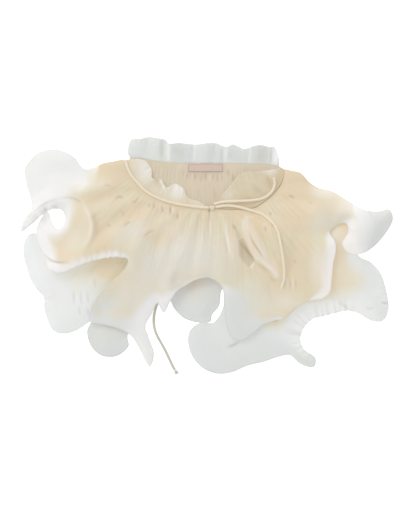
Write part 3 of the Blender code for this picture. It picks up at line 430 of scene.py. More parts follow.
FRONT_HEM: tuple[Stretch, ...] = (
    Stretch(
        (
            (-113, 125.2, 1.6, 5, 0.5), (-124, 122.5, 1.6, 6, 1), (-136, 120.5, 1.6, 6, 1),
            (-146, 116, 1.6, 6, 1),
        ),
        fade=1, sheer=0,
    ),
    Stretch(
        (
            (-156, 112.5, 1.6, 6, 0), (-165, 116, 1.2, 8, 2), (-174, 128, 0.6, 10, 4),
            (-188, 136, 0.4, 13, 5), (-205, 138.5, 0.4, 15, 6), (-224, 132, 0.4, 17, 7),
            (-238, 115, 0.4, 17, 7), (-237, 96, 0.8, 15, 6), (-231, 76, 3, 12, 5),
        ),
        fade=46, sheer=0.5,
    ),
    Stretch(
        (
            (-229, 60, 9, 9, 4), (-238, 47, 13, 8, 5), (-241.6, 31, 15, 8, 6),
            (-231, 38, 16, 9, 7), (-217, 51, 16, 9, 8), (-204, 59.5, 16, 9, 8),
            (-190, 60, 15, 8, 8),
        ),
        fade=26, sheer=0.5, crimp=0.4, pitch=7,
    ),
    Stretch(
        (
            (-184, 50, 13, 8, 9), (-187, 39, 11, 8, 9), (-195, 34, 10, 8, 8),
        ),
        fade=9,
    ),
    Stretch(
        (
            (-202.5, 43, 9, 6, 5), (-207, 56.5, 10, 6, 4), (-216, 49, 10, 6, 4),
            (-222.5, 33, 8, 8, 6), (-219, 13, 9, 9, 8), (-210, -2, 12, 9, 8),
        ),
        fade=26,
    ),
    Stretch(
        (
            (-206, -17, 16, 8, 9), (-189, -22, 18, 7, 11), (-170, -14, 19, 7, 12),
        ),
        fade=13, crimp=0.5, pitch=9, deep=8,
    ),
    Stretch(
        ((-150, -7, 20, 7, 12), (-130, -3, 20, 8, 11), (-114, -2, 20, 8, 9)),
        fade=11, crimp=1.6, pitch=9, deep=8.5,
    ),
    Stretch(((-103, -5, 18, 8, 8),), fade=3, sheer=0.7, crimp=0.4),
    Stretch(
        (
            (-107, -17, 16, 6, 6), (-123, -33, 15, 6, 5), (-140, -50, 14, 6, 4),
            (-151, -68, 11, 7, 5),
        ),
        fade=0.5, sheer=1,
    ),
    Stretch(
        ((-153, -86, 7, 8, 6), (-135, -90, 6, 8, 7), (-115, -95.5, 6, 8, 7)),
        fade=16, sheer=0.8,
    ),
    Stretch(
        (
            (-99, -105, 6, 8, 6), (-89, -121, 5, 6, 4), (-76, -144, 4, 6, 3),
            (-70, -128, 5, 6, 4), (-77, -106, 7, 6, 5),
        ),
        fade=55, sheer=0.5,
    ),
    Stretch(
        (
            (-81, -92, 8, 6, 6), (-73, -76, 8, 6, 6), (-65, -62, 9, 6, 6),
            (-57, -74, 8, 6, 6), (-49, -60, 9, 6, 6),
        ),
        fade=20, sheer=0.4,
    ),
    Stretch(
        (
            (-40, -46, 10, 7, 8), (-28, -38.5, 10, 7, 8), (-16, -31.5, 10, 7, 8),
            (-4, -28.5, 10, 7, 8), (1.5, -28.5, 10, 7, 8), (2.8, -29, 10, 7, 8),
            (11, -33, 10, 7, 7), (19.5, -42, 9, 6, 5),
        ),
        fade=3, sheer=0.5,
    ),
    Stretch(
        (
            (22, -60, 9, 6, 4), (24, -82, 9, 7, 3), (30, -104, 8.5, 7, 3),
            (43, -111, 8.5, 7, 3), (58, -103, 9, 7, 4),
        ),
        fade=52, sheer=0.9,
    ),
    Stretch(((72, -90, 11, 7, 5), (88, -84, 15, 7, 6)), fade=7, sheer=0.8),
    Stretch(
        ((102, -80, 18.5, 7, 6), (116, -67, 19, 7, 7), (132, -58.5, 19.5, 7, 8)),
        fade=1, sheer=0.2,
    ),
    Stretch(
        (
            (149, -55, 20, 8, 10), (158, -46, 21, 9, 12), (160, -29, 22, 9, 13),
            (161.5, -11, 23, 9, 13), (165, 5, 23, 9, 13), (164, 19, 22, 8, 12),
        ),
        fade=17, sheer=0,
    ),
    Stretch(((158, 30, 16, 7, 4), (167, 39, 14, 6, 2), (179, 42, 14, 6, 2)), fade=1, sheer=0.5),
    Stretch(
        ((182, 31, 17, 6, 4), (174.5, 16, 19, 8, 7), (181, 4.5, 17, 9, 9), (196, 1.5, 13, 10, 9)),
        fade=42, sheer=0,
    ),
    Stretch(
        ((212, 8.5, 8, 11, 9), (228, 23.5, 5, 12, 9), (241.2, 45, 4, 12, 8)),
        fade=56, sheer=1.0,
    ),
    Stretch(
        ((237, 59.5, 6, 10, 5), (223, 57, 7, 8, 4), (211, 58, 5, 8, 3), (203, 60, 3, 7, 2)),
        fade=40, sheer=0.6, crimp=0.25,
    ),
    Stretch(
        (
            (193, 65, 1.6, 6, 0), (179, 74, 1.6, 6, 1), (163, 83.5, 1.6, 6, 1.5),
            (147, 87.5, 1.6, 7, 2), (134, 95, 1.6, 7, 2), (122, 107.5, 1.6, 6, 1),
            (111, 110.5, 1.6, 5, 0.5),
        ),
        fade=1, sheer=0,
    ),
)
LOWER_LEFT_HEM: tuple[Stretch, ...] = (
    Stretch(
        (
            (-162, 36, 2, 5, 0.5), (-188, 25, 2, 6, 1), (-210, 25, 2, 7, 1),
            (-225, 29, 2, 8, 1), (-233, 27, 1, 9, 3), (-239.5, 16, 0.4, 11, 5),
            (-240.5, 1, 0.4, 13, 6), (-236.5, -14, 0.4, 13, 6), (-231, -31, 0.4, 13, 6),
        ),
        fade=70,
    ),
    Stretch(
        ((-222, -45, 1.5, 12, 5), (-213.5, -55, 3, 10, 4), (-213.5, -68, 1, 11, 5)),
        fade=70, crimp=0.55, pitch=6, deep=10,
    ),
    Stretch(
        ((-209, -84, 0.4, 12, 5), (-201, -98, 0.4, 12, 5), (-187, -102, 0.4, 12, 4)),
        fade=76, sheer=0.2,
    ),
    Stretch(
        ((-172, -98, 1.5, 10, 3), (-158, -89, 3, 9, 1), (-134, -73, 3, 8, 0.5)),
        fade=60, sheer=0.2, crimp=0.35, pitch=6,
    ),
)
LOWER_RIGHT_HEM: tuple[Stretch, ...] = (
    Stretch(
        (
            (21, -53, 1.6, 4, 0), (21.5, -62, 1.6, 4, 0.5), (19, -72, 1.6, 5, 0.5),
            (14, -81, 2.0, 5, 0.5), (6, -88.5, 2.4, 5, 0.3), (-9, -87.5, 2.6, 7, 0.6),
        ),
        fade=60, sheer=0.7,
    ),
    Stretch(
        (
            (-22.5, -98, 1.0, 10, 3), (-25, -115, 0.4, 12, 4), (-19, -133, 0.4, 14, 5),
            (-6, -147, 0.4, 14, 5), (12, -154.5, 0.4, 14, 5), (32, -152.5, 0.4, 14, 5),
            (52, -144, 0.4, 14, 5), (74, -139, 0.4, 14, 5), (94, -132, 0.8, 12, 4),
        ),
        fade=95, sheer=0.9,
    ),
    Stretch(
        (
            (108, -130, 1.0, 10, 4), (121, -141, 0.4, 9, 3), (138, -146, 0.4, 9, 3),
            (141, -134, 0.6, 9, 4),
        ),
        fade=45, sheer=1.1,
    ),
    Stretch(
        (
            (126, -122, 2, 12, 7), (121, -108, 3, 18, 11), (127, -93, 3, 20, 13),
            (138, -82.5, 3, 20, 13), (152, -79, 3, 19, 13), (167, -75, 3, 17, 12),
            (181, -72, 3, 14, 9),
        ),
        fade=34, sheer=0, crimp=1.15, pitch=8, deep=17,
    ),
    Stretch(((197, -75, 2, 14, 8), (213, -84.5, 0.6, 14, 7)), fade=40),
    Stretch(
        ((229, -85, 0.4, 14, 7), (236.5, -70, 0.4, 14, 7), (234.5, -50, 0.4, 13, 7)),
        fade=60, sheer=0.5, crimp=0.3, pitch=5, deep=13,
    ),
    Stretch(
        ((227, -25, 0.8, 12, 6), (213, -9, 2, 10, 4), (199, -2, 3, 9, 3)),
        fade=30, sheer=0.6,
    ),
    Stretch(
        ((189, 14, 9, 8, 1), (196, 28, 9, 8, 1), (192, 46, 7, 8, 1), (176, 55, 3, 6, 1)),
        fade=3, sheer=0,
    ),
)
BACK_HEM: tuple[Stretch, ...] = (
    Stretch(
        (
            (-140, 113.5, 0, 8, 0), (-150, 98, 0, 8, 0), (-152, 66, 0, 8, 0),
            (-160, 34, 0, 8, 0), (-164, 0, 0, 8, 0), (-160, -36, 0, 8, 0),
            (-150, -66, 0, 8, 0),
        ),
        fade=3, sheer=0,
    ),
    Stretch(
        (
            (-151, -84, 0, 8, 0), (-157.5, -99, 0, 10, 1), (-152, -119, 0, 11, 3),
            (-138, -131, 0, 11, 4), (-119, -131.5, 0, 11, 4), (-103.5, -119, 0, 10, 3),
            (-104, -103, 0, 9, 1),
        ),
        fade=80, sheer=1,
    ),
    Stretch(((-88, -80, 0, 8, 0), (-76, -62, 0, 8, 0), (-62, -52, 0, 8, 0)), fade=20),
    Stretch(
        (
            (-50, -57, 0, 8, 1), (-43, -70, 0, 9, 3), (-32, -81, 0, 10, 4),
            (-16, -87, 0, 10, 3), (3, -87, 0, 10, 0), (6, -77, 0, 9, 2),
            (15.5, -65, 0, 8, 3), (18, -46, 0, 8, 1),
        ),
        fade=80, sheer=1,
    ),
    Stretch(
        (
            (27, -44, 0, 8, 0), (36, -66, 0, 8, 0), (55, -82, 0, 8, 0), (80, -80, 0, 8, 0),
            (100, -60, 0, 8, 0), (128, -40, 0, 8, 0), (152, -14, 0, 8, 0),
            (164, 16, 0, 8, 0), (168, 42, 0, 8, 0), (170, 62, 0, 8, 0), (162, 76, 0, 8, 0),
        ),
        fade=3, sheer=0,
    ),
)


def between_rows(values: Array, at: Array) -> Array:
    """Smooth (Catmull-Rom) reading of rows at fractional row numbers.

    Args:
        values: one row for each place.
        at: the row numbers to read at.

    Returns:
        A row for each number.
    """
    last = len(values) - 1
    row = np.clip(np.floor(at).astype(int), 0, last - 1)
    t = (at - row).reshape(-1, *[1] * (values.ndim - 1))
    before, here, after, later = (
        values[np.clip(row + step, 0, last)] for step in (-1, 0, 1, 2)
    )
    return here + 0.5 * t * (
        after - before
        + t * (2 * before - 5 * here + 4 * after - later)
        + t * t * (3 * (here - after) + later - before)
    )


def closely(rows: Rows | Array) -> tuple[Array, Array]:
    """Close readings of the line through rows, and the plan length from each to the next."""
    table = np.array(rows, float)
    fine = between_rows(table, np.linspace(0, len(table) - 1, READINGS_A_ROW * len(table)))
    return fine, np.linalg.norm(np.diff(fine[:, :2], axis=0), axis=1)


def along(rows: Rows | Array, share: Array) -> Array:
    """Smooth reading of rows at shares of the length, in plan, of the line through them."""
    fine, steps = closely(rows)
    length = np.concatenate([[0], np.cumsum(steps)]) / steps.sum()
    return np.stack([np.interp(share, length, column) for column in fine.T], axis=1)


def evenly(rows: Rows | Array, spacing: float) -> Array:
    """Rows read at even steps along the line through them, about a spacing apart."""
    _, steps = closely(rows)
    return along(rows, np.linspace(0, 1, max(2, round(steps.sum() / spacing)) + 1))


def run_length(line: Array) -> Array:
    """Length along a line, in plan, from its start to each of its points."""
    steps = np.linalg.norm(np.diff(line[:, :2], axis=0), axis=1)
    return np.concatenate([[0.0], np.cumsum(steps)])


def smooth(value: Array, low: float, high: float) -> Array:
    """Rises from 0 at low to 1 at high along an even S."""
    t = np.clip((value - low) / (high - low), 0, 1)
    return t * t * (3 - 2 * t)


def bell(distance: Array, reach: float | Array) -> Array:
    """Falls from 1 at no distance towards 0 past the reach."""
    return np.exp(-((distance / reach) ** 2))


def in_chunks(points: Array, work: Callable[[Array], Array]) -> Array:
    """Works on a chunk of the points at a time, so that no table grows too large."""
    starts = range(0, max(len(points), 1), CHUNK)
    return np.concatenate([work(points[start : start + CHUNK]) for start in starts], axis=-1)


def nearest(points: Array, line: Array) -> tuple[Array, Array]:
    """The distance in plan from points to a line, and where on the line that is.

    The nearest corner of the line is found first, and then the nearest point of the
    two pieces that meet there.

    Args:
        points: places, as x and y.
        line: the line's points, as x and y first.

    Returns:
        The distances, and fractional point numbers of the line.
    """
    x, y = line[:, 0], line[:, 1]

    def measure(part: Array) -> Array:
        """Distances in one row and point numbers in the next."""
        squared = (part[:, :1] - x) ** 2 + (part[:, 1:] - y) ** 2
        index = squared.argmin(axis=1)
        best = np.sqrt(squared[np.arange(len(part)), index])
        where = index.astype(float)
        for side in (-1, 0):
            first = np.clip(index + side, 0, len(line) - 2)
            base = line[first, :2]
            run = line[first + 1, :2] - base
            t = ((part - base) * run).sum(1) / np.maximum((run**2).sum(1), TINY)
            t = np.clip(t, 0, 1)
            gap = np.linalg.norm(base + run * t[:, None] - part, axis=1)
            better = gap < best
            best = np.where(better, gap, best)
            where = np.where(better, first + t, where)
        return np.stack([best, where])

    away, place = in_chunks(points[:, :2], measure)
    return away, place


def inside(points: Array, outline: Array) -> Array:
    """Whether each point is inside a closed outline, by counting crossings."""
    x0, y0 = outline.T
    x1, y1 = np.roll(outline, -1, axis=0).T
    slope = (x1 - x0) / np.where(y1 == y0, TINY, y1 - y0)

    def odd(part: Array) -> Array:
        """Whether a line to the left of each point crosses the outline an odd number of times."""
        x, y = part[:, :1], part[:, 1:2]
        crosses = ((y0 > y) != (y1 > y)) & (x < slope * (y - y0) + x0)
        return crosses.sum(axis=1) % 2 == 1

    return in_chunks(points, odd)


def plate(places: Array, heights: Array, points: Array) -> Array:
    """Height at each point of a thin plate bent through the given places."""

    def bend(a: Array, b: Array) -> Array:
        """The plate's own curve: squared distance times its logarithm."""
        squared = ((a[:, None] - b[None]) ** 2).sum(-1)
        return 0.5 * squared * np.log(squared + 1e-9)

    def read(part: Array) -> Array:
        """The plate's bends and its even slope, added up."""
        flat = np.column_stack([np.ones(len(part)), part])
        return bend(part, places) @ weights[:count] + flat @ weights[count:]

    count = len(places)
    level = np.column_stack([np.ones(count), places])
    matrix = np.zeros((count + 3, count + 3))
    matrix[:count, :count] = bend(places, places) + PLATE_EASE * np.eye(count)
    matrix[:count, count:] = level
    matrix[count:, :count] = level.T
    weights = np.linalg.solve(matrix, np.concatenate([heights, np.zeros(3)]))
    return in_chunks(points, read)


def curve(
    t: Array, start: float | Array, middle: float | Array, end: float | Array
) -> Array:
    """The parabola through a start, a middle and an end, at shares t of the way."""
    return (1 - t) * (1 - 2 * t) * start + 4 * t * (1 - t) * middle + t * (2 * t - 1) * end


def fold_height(points: Array, folds: Rows) -> Array:
    """Height that folds add: round ridges and troughs that die out at both ends; with a tone in
    place of a height, the same lines give painted shade and highlight.
    """
    points = points[:, :2]
    total = np.zeros(len(points))
    t = np.linspace(0, 1, FOLD_READINGS)
    fade = np.sin(np.pi * t) ** FOLD_FADE
    for x0, y0, x1, y1, x2, y2, width, height in folds:
        line = np.stack([curve(t, x0, x1, x2), curve(t, y0, y1, y2)], 1)
        middle = line.mean(0)
        reach = np.linalg.norm(line - middle, axis=1).max() + FOLD_WIDTHS * width
        near = np.flatnonzero(np.linalg.norm(points - middle, axis=1) < reach)
        away = np.linalg.norm(points[near, None] - line[None], axis=-1)
        total[near] += height * (fade * bell(away, width)).max(axis=1)
    return total


def patch_shading(points: Array, patches: Rows) -> Array:
    """Painted shade or highlight that patches add: full inside each one's corners, with a soft
    step at the edge.
    """
    total = np.zeros(len(points))
    for tone, soft, *corners in patches:
        outline = np.array(corners, float).reshape(-1, 2)
        low, high = outline.min(axis=0) - soft, outline.max(axis=0) + soft
        near = np.flatnonzero(((points[:, :2] > low) & (points[:, :2] < high)).all(axis=1))
        away, _ = nearest(points[near], np.concatenate([outline, outline[:1]]))
        signed = np.where(inside(points[near], outline), away, -away)
        total[near] += tone * smooth(signed, -soft, soft)
    return total


def shade_dye(points: Array, dyed: Array, tones: Rows) -> Array:
    """The dye with round tones added: each fades out as a bell over its two reaches."""
    for x, y, across, up, share in tones:
        off = ((points[:, 0] - x) / across) ** 2 + ((points[:, 1] - y) / up) ** 2
        dyed = dyed + share * np.exp(-off)
    return np.clip(dyed, 0, 1)


def wander(length: Array, pitch: float, seed: float) -> Array:
    """A soft wave along a length whose turns are uneven, from -1 to 1."""
    turn = 2 * np.pi * length / pitch
    return np.sin(turn + 1.3 * np.sin(turn / 3.7 + seed) + 0.9 * np.sin(turn / 5.3 + 2 * seed))


def lattice(outline: Array, spacing: float) -> tuple[Array, Array]:
    """The points and the triangles of an even lattice that covers an outline."""
    low, high = outline.min(axis=0) - 2 * spacing, outline.max(axis=0) + 2 * spacing
    down = spacing * math.sqrt(0.75)
    rows, columns = int((high[1] - low[1]) / down) + 2, int((high[0] - low[0]) / spacing) + 2
    row, column = np.meshgrid(np.arange(rows), np.arange(columns), indexing="ij")
    points = np.stack(
        [low[0] + (column + 0.5 * (row % 2)) * spacing, low[1] + row * down], axis=-1
    ).reshape(-1, 2)
    number = np.arange(rows * columns).reshape(rows, columns)
    a, b = number[:-1, :-1], number[:-1, 1:]
    c, d = number[1:, :-1], number[1:, 1:]
    even = (np.arange(rows - 1) % 2 == 0)[:, None, None]
    first = np.where(even, np.stack([a, b, c], -1), np.stack([a, b, d], -1))
    second = np.where(even, np.stack([b, d, c], -1), np.stack([a, d, c], -1))
    return points, np.concatenate([first.reshape(-1, 3), second.reshape(-1, 3)])


def cut_lattice(outline: Array, spacing: float) -> tuple[Array, Array]:
    """Triangles that fill an outline.

    Points of the lattice within half a spacing of the outline are moved onto it, and
    triangles are kept that have a point well inside, or their middle inside.

    Args:
        outline: the closed outline's points.
        spacing: the length of a triangle's side.

    Returns:
        The points, and the triangles as point numbers.
    """
    points, faces = lattice(outline, spacing)
    closed = np.concatenate([outline, outline[:1]])
    away, place = nearest(points, closed)
    signed = np.where(inside(points, outline), away, -away)
    onto = away < 0.5 * spacing
    step = np.clip(np.floor(place).astype(int), 0, len(closed) - 2)
    moved = closed[step] + (closed[step + 1] - closed[step]) * (place - step)[:, None]
    middle = inside(points[faces].mean(axis=1), outline)
    usable = (onto | (signed > 0))[faces].all(axis=1)
    deep = ((signed > 0) & ~onto)[faces].any(axis=1)
    faces = faces[usable & (deep | middle)]
    points = np.where(onto[:, None], moved, points)

    # Points that were moved to the same place become one, and empty triangles go
    _, whose, same = np.unique(
        np.round(points * SAME_PLACE).astype(np.int64),
        axis=0, return_index=True, return_inverse=True,
    )
    faces = whose[same.reshape(-1)[faces]]
    distinct = (faces != np.roll(faces, -1, axis=1)).all(axis=1)
    used, faces = np.unique(faces[distinct], return_inverse=True)
    points, faces = points[used], faces.reshape(-1, 3)
    side1 = points[faces[:, 1]] - points[faces[:, 0]]
    side2 = points[faces[:, 2]] - points[faces[:, 0]]
    area = side1[:, 0] * side2[:, 1] - side1[:, 1] * side2[:, 0]
    return points, faces[area > LEAST_AREA]


def put_mesh(
    name: str,
    points: Array,
    faces: Array,
    values: dict[str, Array] | None = None,
    places: Array | None = None,
) -> bpy.types.Object:
    """An object at the origin with a mesh from arrays, riding on the collar's body.

    Args:
        name: the piece's name.
        points: its points in millimetres.
        faces: point numbers, three or four a face.
        values: a number at each point, by attribute name.
        places: the map place of each point, for the piece's UV map.

    Returns:
        The object.
    """
    mesh = bpy.data.meshes.new(name)
    count, sides = faces.shape
    mesh.vertices.add(len(points))
    mesh.vertices.foreach_set("co", (points * MM).astype(np.float32).ravel())
    mesh.loops.add(count * sides)
    mesh.loops.foreach_set("vertex_index", faces.astype(np.int32).ravel())
    mesh.polygons.add(count)
    mesh.polygons.foreach_set("loop_start", np.arange(0, count * sides, sides, dtype=np.int32))
    mesh.update(calc_edges=True)
    mesh.validate()
    for label, value in (values or {}).items():
        layer = mesh.attributes.new(label, "FLOAT", "POINT")
        layer.data.foreach_set("value", value.astype(np.float32))
    if places is not None:
        layer = mesh.uv_layers.new(name=CLOTH_MAP)
        layer.data.foreach_set("uv", places[faces.ravel()].astype(np.float32).ravel())
    mesh.shade_smooth()
    made = bpy.data.objects.new(name, mesh)
    bpy.context.scene.collection.objects.link(made)
    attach(made, ROOT_BODY)
    return made


def grid_faces(rows: int, columns: int, closed: bool = False, looped: bool = False) -> Array:
    """Four-sided faces of a grid of points.

    Args:
        rows: rows of points.
        columns: points in a row.
        closed: whether the last column is joined to the first.
        looped: whether the last row is joined to the first.

    Returns:
        The point numbers of each face.
    """
    number = np.arange(rows * columns).reshape(rows, columns)
    if closed:
        number = np.concatenate([number, number[:, :1]], axis=1)
    if looped:
        number = np.concatenate([number, number[:1]], axis=0)
    return np.stack(
        [number[:-1, :-1], number[:-1, 1:], number[1:, 1:], number[1:, :-1]], axis=-1
    ).reshape(-1, 4)


class Socket(Enum):
    """Kinds of node group socket."""

    NUMBER = "NodeSocketFloat"
    COLOUR = "NodeSocketColor"


class Tree:
    """A node tree that is written one node a call."""

    def __init__(self, tree: bpy.types.NodeTree) -> None:
        """Starts on a tree."""
        self.tree = tree

    def add(self, kind: str, settings: dict | None = None, **inputs: object) -> bpy.types.Node:
        """Adds a node.

        Args:
            kind: Blender's node type.
            settings: the node's own properties.
            inputs: its sockets by name, with _ for a space, or by number as n0, n1;
                each takes a value or another node's output.

        Returns:
            The node.
        """
        node = self.tree.nodes.new(kind)
        for key, value in (settings or {}).items():
            setattr(node, key, value)
        for key, value in inputs.items():
            number = key[1:]
            named = key[0] == "n" and number.isdigit()
            socket = node.inputs[int(number) if named else key.replace("_", " ")]
            self.join(value, socket)
        return node

    def join(self, value: object, socket: bpy.types.NodeSocket) -> None:
        """Links an output to a socket, or sets the socket's own value."""
        if isinstance(value, bpy.types.NodeSocket):
            self.tree.links.new(value, socket)
        elif isinstance(value, tuple) and len(value) == 3 and socket.type == "RGBA":
            socket.default_value = (*value, 1.0)
        else:
            socket.default_value = value

    def shader(self, **inputs: object) -> None:
        """Joins or sets sockets of the main shader, by name with _ for a space."""
        main = self.tree.nodes["Principled BSDF"]
        for key, value in inputs.items():
            self.join(value, main.inputs[key.replace("_", " ")])

    def maths(self, operation: str, *values: object, clamp: bool = False) -> bpy.types.NodeSocket:
        """One arithmetic step on one to three numbers."""
        inputs = {f"n{i}": value for i, value in enumerate(values)}
        settings = {"operation": operation, "use_clamp": clamp}
        return self.add("ShaderNodeMath", settings, **inputs).outputs[0]

    def times(self, *values: object, clamp: bool = False) -> bpy.types.NodeSocket:
        """Two numbers multiplied."""
        return self.maths("MULTIPLY", *values, clamp=clamp)

    def less(self, *values: object, clamp: bool = False) -> bpy.types.NodeSocket:
        """One number less another."""
        return self.maths("SUBTRACT", *values, clamp=clamp)

    def mix(
        self, share: object, one: object, other: object, blend: str = "MIX"
    ) -> bpy.types.NodeSocket:
        """A colour between two colours, or one multiplied by the other."""
        settings = {"data_type": "RGBA", "blend_type": blend}
        return self.add("ShaderNodeMix", settings, n0=share, n6=one, n7=other).outputs[2]

    def value(self, label: str) -> bpy.types.NodeSocket:
        """A number that the piece carries at each point."""
        settings = {"attribute_type": "GEOMETRY", "attribute_name": label}
        return self.add("ShaderNodeAttribute", settings).outputs["Fac"]

    def cloud(self, scale: float, detail: float = 2.0) -> bpy.types.NodeSocket:
        """Soft noise at the object's own places, with a scale in patches a metre."""
        place = self.add("ShaderNodeTexCoord").outputs["Object"]
        node = self.add("ShaderNodeTexNoise", None, Vector=place, Scale=scale, Detail=detail)
        return node.outputs["Fac"]

    def map_axes(self) -> tuple[bpy.types.NodeSocket, bpy.types.NodeSocket]:
        """The place along and the place across, on the piece's own map."""
        place = self.add("ShaderNodeUVMap", {"uv_map": CLOTH_MAP}).outputs["UV"]
        apart = self.add("ShaderNodeSeparateXYZ", None, Vector=place).outputs
        return apart["X"], apart["Y"]

    def weave(
        self, group: bpy.types.NodeTree, threads: float, strength: float, depth: float
    ) -> bpy.types.NodeSocket:
        """The dents between threads, as a normal.

        Args:
            group: the shared weave.
            threads: how fast its threads turn along the map, a metre.
            strength: the share of the dents that shows.
            depth: how deep they are, in metres.

        Returns:
            The normal.
        """
        cloth = self.add("ShaderNodeGroup", {"node_tree": group}, Threads=threads)
        height = cloth.outputs["Height"]
        node = self.add("ShaderNodeBump", None, Strength=strength, Distance=depth, Height=height)
        return node.outputs["Normal"]


def new_group(
    name: str, takes: dict[str, Socket], gives: dict[str, Socket]
) -> tuple[Tree, bpy.types.Node, bpy.types.Node]:
    """An empty shader node group with its sockets.

    Args:
        name: the group's name.
        takes: its inputs by name.
        gives: its outputs by name.

    Returns:
        The tree, its input node and its output node.
    """
    tree = bpy.data.node_groups.new(name, "ShaderNodeTree")
    for label, kind in takes.items():
        tree.interface.new_socket(label, in_out="INPUT", socket_type=kind.value)
    for label, kind in gives.items():
        tree.interface.new_socket(label, in_out="OUTPUT", socket_type=kind.value)
    enter = tree.nodes.new("NodeGroupInput")
    leave = tree.nodes.new("NodeGroupOutput")
    return Tree(tree), enter, leave


def new_material(name: str) -> tuple[bpy.types.Material, Tree]:
    """A new material and its node tree."""
    made = bpy.data.materials.new(name)
    made.use_nodes = True
    return made, Tree(made.node_tree)


class Patterns:
    """The shader groups that several finishes share, each built once."""

    def __init__(self) -> None:
        """Builds the groups."""
        self.dye = self.build_dye_and_shading()
        self.pleats = self.build_pleats()
        self.weave = self.build_weave()

    @staticmethod
    def build_dye_and_shading() -> bpy.types.NodeTree:
        """Cream that fades to white at the hem and to grey where one thin layer lies alone, partly
        the sheer cloth and partly painted shade; then painted shade along pleat lines, creases and
        rims, and painted highlight on light edges.
        """
        colours = dict.fromkeys(("Cream", "White", "Sheer", "Crease", "Moss"), Socket.COLOUR)
        numbers = dict.fromkeys(("Dyed", "Thin", "Rim", "Line", "Fold"), Socket.NUMBER)
        tree, enter, leave = new_group("cloth_dye_and_shading", colours | numbers, {"Colour": Socket.COLOUR})
        take = enter.outputs
        uneven = tree.less(tree.cloud(scale=18.0, detail=4.0), 0.5)
        drift = tree.maths("MULTIPLY_ADD", uneven, DRIFT, take["Dyed"], clamp=True)
        # Where one thin layer lies alone the white turns grey: partly the sheer cloth, partly
        # painted shade
        edge = tree.mix(take["Thin"], take["White"], take["Sheer"])
        green = tree.times(tree.less(tree.cloud(scale=24.0), MOSS_FROM), MOSS_RISE, clamp=True)
        green = tree.maths("ADD", green, tree.less(1.0, drift), clamp=True)
        cloth = tree.mix(drift, edge, tree.mix(green, take["Cream"], take["Moss"]))

        def shaded(share: object, colour: object) -> bpy.types.NodeSocket:
            """Painted shade: the colour multiplied by the crease colour, by a share."""
            return tree.mix(share, colour, take["Crease"], "MULTIPLY")

        # Painted shade along pleat lines and creases, painted highlight towards white on light
        # edges, then painted shade at the hem's rim
        pleat_shaded = shaded(tree.times(take["Line"], LINE_SHADE), cloth)
        crease_shaded = shaded(tree.times(take["Fold"], FOLD_SHADE, clamp=True), pleat_shaded)
        light = tree.times(take["Fold"], -FOLD_LIGHT, clamp=True)
        crease_highlit = tree.mix(light, crease_shaded, take["White"])
        rim_shaded = shaded(tree.times(take["Rim"], RIM_SHADE), crease_highlit)
        tree.join(rim_shaded, leave.inputs["Colour"])
        return tree.tree

    @staticmethod
    def build_pleats() -> bpy.types.NodeTree:
        """Fine pressed pleats along a length, strong or faint in patches, and gather ticks: a
        height for the bump, and a line that the dye paints as shade along the grooves.
        """
        tree, enter, leave = new_group(
            "pressed_pleats",
            dict.fromkeys(("Along", "Reach", "Press", "Pitch"), Socket.NUMBER),
            dict.fromkeys(("Height", "Line"), Socket.NUMBER),
        )
        take = enter.outputs
        turn = tree.maths("DIVIDE", take["Along"], take["Pitch"])
        ridge = tree.maths("PINGPONG", tree.maths("FRACT", turn), 0.5)
        groove = tree.less(1.0, tree.times(ridge, GROOVE_SLOPE), clamp=True)
        shown = tree.times(tree.less(tree.cloud(scale=34.0), PRESS_FROM), PRESS_RISE, clamp=True)
        whole = tree.maths("FLOOR", turn)
        dice = tree.add("ShaderNodeTexWhiteNoise", {"noise_dimensions": "1D"}, W=whole)
        off = tree.maths("ABSOLUTE", tree.less(take["Reach"], TICK_REACH))
        window = tree.less(1.0, tree.maths("DIVIDE", off, TICK_HALF), clamp=True)
        tick = tree.times(tree.times(window, dice.outputs["Value"]), TICK_STRENGTH)
        strength = tree.maths("MAXIMUM", tree.times(shown, PRESS_STRENGTH), tick)
        line = tree.times(groove, tree.times(strength, take["Press"]))
        height = tree.less(tree.times(ridge, take["Press"]), line)
        tree.join(height, leave.inputs["Height"])
        tree.join(line, leave.inputs["Line"])
        return tree.tree

    @staticmethod
    def build_weave() -> bpy.types.NodeTree:
        """A plain weave: threads over and under, as two crossed waves on the cloth's own map."""
        tree, enter, leave = new_group(
            "plain_weave", {"Threads": Socket.NUMBER}, {"Height": Socket.NUMBER}
        )
        threads = enter.outputs["Threads"]
        waves = [tree.maths("SINE", tree.times(place, threads)) for place in tree.map_axes()]
        tree.join(tree.times(*waves), leave.inputs["Height"])
        return tree.tree


